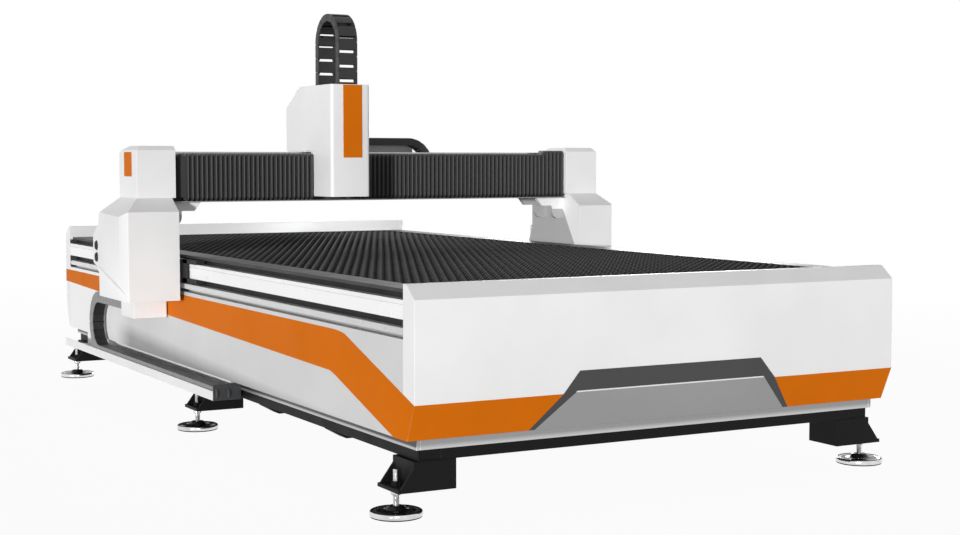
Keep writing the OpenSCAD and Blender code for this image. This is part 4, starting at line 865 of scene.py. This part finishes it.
def pleat_path(front, rear, low, high, radius, steps=7):
    """The U of the cover's section: bottom, round corner, front, round corner, top. Gives its (y, z) points
    and the inward direction at each."""
    angle = np.linspace(0, np.pi / 2, steps)[:, None]
    lower = np.hstack([-np.sin(angle), -np.cos(angle)])
    upper = np.hstack([-np.cos(angle), np.sin(angle)])
    points = np.vstack([
        [(rear, low)], (front + radius, low + radius) + radius * lower,
        (front + radius, high - radius) + radius * upper, [(rear, high)],
    ])
    inward = np.vstack([[(0, 1)], -lower, -upper, [(0, -1)]])
    return points, inward


def pleats(name, x, wave, lift, path, inward, material):
    """A pleated cover: the section path at each x, pulled inward by the fold depth times wave, and its upper
    points raised by lift. Gives the piece and the size of its cloth laid flat."""
    upper = path[:, 1] > path[:, 1].mean()
    section = path[None] + FOLD_DEPTH * wave[:, None, None] * inward[None]
    section[:, :, 1] += lift[:, None] * upper[None]
    station = np.broadcast_to(x[:, None, None], (*section.shape[:2], 1))
    made = new_piece(
        name, np.concatenate([station, section], -1).reshape(-1, 3), open_grid(len(x), len(path)), material,
        "bellows_cloth", merge=False,
    )
    crest = made.data.attributes.new("crest", "FLOAT", "POINT")
    crest.data.foreach_set("value", np.repeat(1 - wave, len(path)).astype(np.float32))
    developed = np.hypot(np.diff(x), FOLD_DEPTH * np.diff(wave)).sum()
    wide = np.linalg.norm(np.diff(path, axis=0), axis=1).sum()
    return made, (wide, developed)


bellows_cloth, tree, shader, place = finish("bellows_cloth", Sheen_Weight=0.15, Specular_IOR_Level=0.35)
# Darker in the pleat valleys and lighter on the crests: painted shade in the folds and a painted highlight on
# the crests.
crest = add(tree, "Attribute", attribute_name="crest").outputs["Fac"]
pleat_light_shade = ramp(
    tree, crest, (0.15, (0.008, 0.008, 0.0085, 1)), (0.8, (0.022, 0.022, 0.023, 1)),
    (0.97, (0.060, 0.060, 0.062, 1)),
)
tree.links.new(pleat_light_shade, shader.inputs["Base Color"])
gloss = add(tree, "MapRange", Value=crest, To_Min=0.7, To_Max=0.48)
tree.links.new(gloss.outputs["Result"], shader.inputs["Roughness"])
weave = [
    add(tree, "TexWave", Vector=place, Scale=320.0, bands_direction=way, Distortion=0.4).outputs["Fac"]
    for way in ("X", "Z")
]
cloth = sum_of(tree, *weave, operation="MULTIPLY")
bump = add(tree, "Bump", Height=cloth, Strength=0.35, Distance=0.0002)
tree.links.new(bump.outputs["Normal"], shader.inputs["Normal"])

END_SHADOW_STRIP_WIDTH = 0.050
STACK_FOLDS = 5
for side in ("left", "right"):
    low, high = (np.array(end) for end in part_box("bellows_" + side))
    stack = high[2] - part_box("bellows_left")[1][2]
    path, inward = pleat_path(low[1], high[1], low[2], high[2] - stack, CORNER_RADIUS)
    x0, x1 = low[0] + (END_SHADOW_STRIP_WIDTH if side == "left" else 0), high[0]
    count = round((x1 - x0) / FOLD_PITCH)
    share = np.linspace(0, 1, count * FOLD_SAMPLES + 1)
    wave = np.arcsin(FOLD_SHARPNESS * np.cos(2 * np.pi * count * share)) / np.arcsin(FOLD_SHARPNESS)
    x, wave = x0 + share * (x1 - x0), 0.5 + 0.5 * wave
    lift = np.where(share > 1 - STACK_FOLDS / count, stack, 0.0)
    # At the left end the cloth runs flat at the valley's depth and darkest tone: a dark strip standing in for
    # the end cover's shadow.
    if side == "left":
        x, wave, lift = (np.concatenate(pair) for pair in (([low[0]], x), ([1.0], wave), ([0.0], lift)))
    cover, flat = pleats("bellows_cover_" + side, x, wave, lift, path, inward, bellows_cloth)
    still, driven = ((x0, 0, 0), (x1, 0, 0)) if side == "left" else ((x1, 0, 0), (x0, 0, 0))
    stretched(cover, "gantry", "carriage", still, driven, 1.0)
    thickness = cover.modifiers.new("cloth", "SOLIDIFY")
    thickness.thickness = CLOTH_THICKNESS
    thickness.offset = 0
    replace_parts(cover, "bellows_" + side)

# Legs: thick plates bolted to the beam's ends with cast gussets, slider blocks that hold the rails, and drive
# motors, all under faceted white sheet covers with rubber glands in their outer sides. Rubber wipers in front
# of the sliders keep the rails clean.
SEAL_GAP = 0.0008
SEAL_REACH = 0.026
SEAL_LENGTH = 0.055
SEAL_THICKNESS = 0.012
WIPER_LENGTH = 0.170
LEG_SLOPE = -0.641
LEG_LIMIT = -0.313
SLIDER_ROUNDING = 0.002
GLAND_SIDES = 40
leg_coat = powder_coat("leg_plate_coat", (0.46, 0.46, 0.465), dull=0.45)
two_tone(leg_coat, (0, 1, LEG_SLOPE), LEG_LIMIT, PAINT_EDGE, (0.88, 0.88, 0.875))
slider_black = powder_coat("slider_black", (0.012, 0.012, 0.013), dull=0.4)
motor_grey = powder_coat("motor_grey", (0.05, 0.05, 0.053), dull=0.4)
soften("leg_frames", "leg_plates", leg_coat, TUBE_ROUNDING)
soften("slider_blocks", "rail_sliders", slider_black, SLIDER_ROUNDING)
paint_node("drive_motors", motor_grey)

rail_low, rail_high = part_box("guide_rails")
slider_low, slider_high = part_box("slider_blocks")
seals = []
for side in (-1, 1):
    for depth, length, bottom, top in (
        (-SEAL_REACH, WIPER_LENGTH, rail_high[2] + SEAL_GAP, slider_high[2] - SEAL_GAP),
        (-SEAL_REACH, WIPER_LENGTH, slider_low[2] + SEAL_GAP, rail_low[2] - SEAL_GAP),
        (SEAL_GAP, SEAL_LENGTH, slider_low[2], slider_high[2]),
    ):
        ends = np.array([
            (side * (rail_high[0] + depth), slider_low[1] - length, bottom),
            (side * (rail_high[0] + SEAL_THICKNESS), slider_low[1], top),
        ])
        seals.append(block(ends.min(0), ends.max(0)))
new_piece("rail_wipers", *joined(*seals), rubber, "rubber", "gantry", smooth=False)
soften("leg_cover_left", "left_leg_cover", white_coat, SHEET_ROUNDING)
soften("leg_cover_right", "right_leg_cover", white_coat, SHEET_ROUNDING)

low, high = (np.array(end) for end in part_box("leg_grommets"))
grommet_radius = (high[1] - low[1]) / 2
GLAND_PROFILE = [
    (0, -0.75), (0.80, -0.75), (0.80, -0.45), (1.0, -0.45), (1.0, -0.30), (0.96, -0.26), (0.84, -0.25),
    (0.84, -0.06), (0.80, -0.01), (0.74, 0.0), (0.60, 0.0), (0.54, -0.05), (0.50, -0.14), (0.40, -0.16),
    (0.36, -0.08), (0.28, -0.05), (0, -0.04),
]
points, faces = turned(np.array(GLAND_PROFILE) * grommet_radius, GLAND_SIDES)
points = points - (0, 0, points[:, 2].max())
shapes = []
for way in (-1, 1):
    outward = np.column_stack([way * points[:, 2], points[:, 0], points[:, 1]])
    for z in (low[2] + grommet_radius, high[2] - grommet_radius):
        shapes.append((outward + ((low, high)[way > 0][0], (low[1] + high[1]) / 2, z), faces))
grommets = new_piece("cable_glands", *joined(*shapes), rubber, "rubber", "gantry")
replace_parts(grommets, "leg_grommets")

# End covers: folded white caps over the beam's ends with chamfered tops. A plain orange plate is fixed on the
# outside of each.
BADGE_ROUNDING = 0.0008
soften("end_covers", "beam_end_covers", white_coat, SHEET_ROUNDING)
soften("end_badges", "end_plates", orange_coat, BADGE_ROUNDING)

# The beam chain: a folded white tray, screwed on the back of the beam, carries the moulded black links that
# follow the head.
BEAM_LOW_LINKS = 8
BEAM_TOP_LINKS = 16
BEAM_BEND_LINKS = 11
low, high, mid = run_box("beam_chain_low")
top_low, _, top_mid = run_box("beam_chain_top")
size = high[1] - low[1], high[2] - low[2]
soften("beam_chain_tray", "beam_tray", white_coat, PANEL_ROUNDING)
near, far = (low[0], mid[1], mid[2]), (high[0], mid[1], mid[2])
piece = straight_run("beam_chain_tray_run", near, far, BEAM_LOW_LINKS, *size, (0, 0, -1), CLOSED, chain_black)
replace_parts(stretched(piece, "gantry", "carriage", near, far, HALF_SPEED), "beam_chain_low")
near, far = (top_low[0], mid[1], top_mid[2]), (high[0], mid[1], top_mid[2])
piece = straight_run("beam_chain_upper_run", near, far, BEAM_TOP_LINKS, *size, (0, 0, 1), CLOSED, chain_black)
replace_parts(stretched(piece, "carriage", "gantry", near, far, HALF_SPEED), "beam_chain_top")
radius = (top_mid[2] - mid[2]) / 2
piece = half_turn(
    "beam_chain_half_turn", far, (1, 0, 0), (0, 0, 1), radius, BEAM_BEND_LINKS, *size, CLOSED, chain_black
)
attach(piece, "beam_bend")
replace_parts(piece, "beam_chain_bend")

# The head: a machined saddle on the beam guides with its drive, a lift guide with motor and ball screw, and
# a tall folded cover over them with a plain orange plate on its front.
SADDLE_ROUNDING = 0.001
SCREW_LEAD = 0.005
SCREW_DEPTH = 0.001
saddle_coat = powder_coat("saddle_coat", (0.84, 0.84, 0.835), dull=0.4)
lift_grey = powder_coat("lift_plate_grey", (0.62, 0.62, 0.625), dull=0.45)
motor_black = powder_coat("motor_black", (0.014, 0.014, 0.015), dull=0.35)
soften("saddle", "head_saddle", saddle_coat, SADDLE_ROUNDING)
paint_node("cross_motor", motor_black)
paint_node("cross_pinion", gear_steel)
paint_node("lift_guide", guide_steel)
paint_node("lift_motor", motor_black)
paint_node("lift_plate", lift_grey)
soften("head_cover", "head_housing", white_coat, SHEET_ROUNDING)
soften("head_badge", "head_plate", orange_coat, BADGE_ROUNDING)

low, high = (np.array(end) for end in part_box("lift_screw"))
screw_centre = (low[0] + high[0]) / 2, (low[1] + high[1]) / 2, 0
points, faces = threaded((high[0] - low[0]) / 2, SCREW_DEPTH, SCREW_LEAD, low[2], high[2])
screw = new_piece("lift_ball_screw", points + screw_centre, faces, gear_steel, "steel", "lift_screw")
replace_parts(screw, "lift_screw")

# The torch: a turned steel body in a split clamp, a ribbed retaining cap screwed on its lower end, and a
# copper nozzle at its tip that heat has marked.
NOZZLE_LENGTH = 0.014
NOZZLE_RADIUS = 0.009
NOZZLE_COLLAR = 0.012
CONE_RADIUS = 0.008
CONE_TOP = 0.010
MOUTH_RADIUS = 0.0038
MOUTH_EDGE_RADIUS = 0.0045
MOUTH_EDGE = 0.001
RETAINER_SEAT_SHARE = 0.50
RETAINER_MOUTH_SHARE = 0.62
RETAINER_MOUTH = 0.018
RETAINER_WAIST_SHARE = 0.90
RETAINER_WAIST = 0.042
RIB_START = 0.050
RIB_PITCH = 0.004
RIB_COUNT = 10
RIB_CREST_SHARE = 0.98
RIB_ROOT_SHARE = 0.93
BARREL_START = 0.092
SHOULDER_DEPTH = 0.012
NECK_SHARE = 0.8
NECK_DEPTH = 0.005
CROWN_SHARE = 0.45
TORCH_SIDES = 48
NOZZLE_SIDES = 32
CLAMP_ROUNDING = 0.001
low, high = (np.array(end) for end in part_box("torch"))
torch_centre = ((low[0] + high[0]) / 2, (low[1] + high[1]) / 2, 0)
torch_radius = (high[0] - low[0]) / 2
copper, tree, shader, place = finish("nozzle_copper", Metallic=1.0, Roughness=0.3)
heat = add(tree, "TexNoise", Vector=place, Scale=90.0, Detail=4.0).outputs["Fac"]
tone = ramp(tree, heat, (0.3, (0.30, 0.11, 0.05, 1)), (0.7, (0.62, 0.28, 0.14, 1)))
tree.links.new(tone, shader.inputs["Base Color"])
torch_steel = brushed("torch_steel", (0.58, 0.58, 0.60), dull=0.25, along=2)
tip, top = low[2], high[2]
ribs = [
    (torch_radius * (RIB_CREST_SHARE if step % 2 else RIB_ROOT_SHARE), tip + RIB_START + RIB_PITCH * step)
    for step in range(RIB_COUNT)
]
body_profile = [
    (0, tip + NOZZLE_LENGTH), (torch_radius * RETAINER_SEAT_SHARE, tip + NOZZLE_LENGTH),
    (torch_radius * RETAINER_MOUTH_SHARE, tip + RETAINER_MOUTH),
    (torch_radius * RETAINER_WAIST_SHARE, tip + RETAINER_WAIST), *ribs,
    (torch_radius, tip + BARREL_START), (torch_radius, top - SHOULDER_DEPTH),
    (torch_radius * NECK_SHARE, top - NECK_DEPTH), (torch_radius * CROWN_SHARE, top), (0, top),
]
nozzle_profile = [
    (0, tip), (MOUTH_RADIUS, tip), (MOUTH_EDGE_RADIUS, tip + MOUTH_EDGE), (CONE_RADIUS, tip + CONE_TOP),
    (NOZZLE_RADIUS, tip + NOZZLE_COLLAR), (NOZZLE_RADIUS, tip + NOZZLE_LENGTH), (0, tip + NOZZLE_LENGTH),
]
points, faces = turned(body_profile, TORCH_SIDES)
torch_body = new_piece("torch_body", points + torch_centre, faces, torch_steel, "steel", "lift")
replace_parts(torch_body, "torch")
points, faces = turned(nozzle_profile, NOZZLE_SIDES)
new_piece("torch_nozzle", points + torch_centre, faces, copper, "steel", "lift")
soften("torch_clamp", "torch_split_clamp", motor_black, CLAMP_ROUNDING)

# The head chain: an arch of wide black links that stands out of the head and rolls as the torch goes down.
# Its bars are set apart, so that light shows between them.
HEAD_FRONT_LINKS = 5
HEAD_REAR_LINKS = 4
HEAD_BEND_LINKS = 6
SLOTTED = 0.80
ARCH_SLOTTED = 0.72
REAR_PHASE = -0.11
FRONT_PHASE = 0.33
ARCH_PHASE = 0.22
low, high, mid = run_box("head_chain_front")
rear_low, _, rear_mid = run_box("head_chain_rear")
size = high[0] - low[0], high[1] - low[1]
near, far = (mid[0], rear_mid[1], rear_low[2]), (mid[0], rear_mid[1], high[2])
piece = straight_run(
    "head_chain_rear_run", near, far, HEAD_REAR_LINKS, *size, (0, 1, 0), SLOTTED, chain_black, REAR_PHASE
)
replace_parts(stretched(piece, "carriage", "lift", near, far, HALF_SPEED), "head_chain_rear")
near, far = (mid[0], mid[1], low[2]), (mid[0], mid[1], high[2])
piece = straight_run(
    "head_chain_front_run", near, far, HEAD_FRONT_LINKS, *size, (0, -1, 0), SLOTTED, chain_black, FRONT_PHASE
)
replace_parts(stretched(piece, "lift", "carriage", near, far, HALF_SPEED), "head_chain_front")
radius = (rear_mid[1] - mid[1]) / 2
piece = half_turn(
    "head_chain_arch", far, (0, 0, 1), (0, -1, 0), radius, HEAD_BEND_LINKS, *size, ARCH_SLOTTED, chain_black,
    ARCH_PHASE,
)
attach(piece, "head_bend")
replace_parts(piece, "head_chain_bend")

low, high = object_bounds()
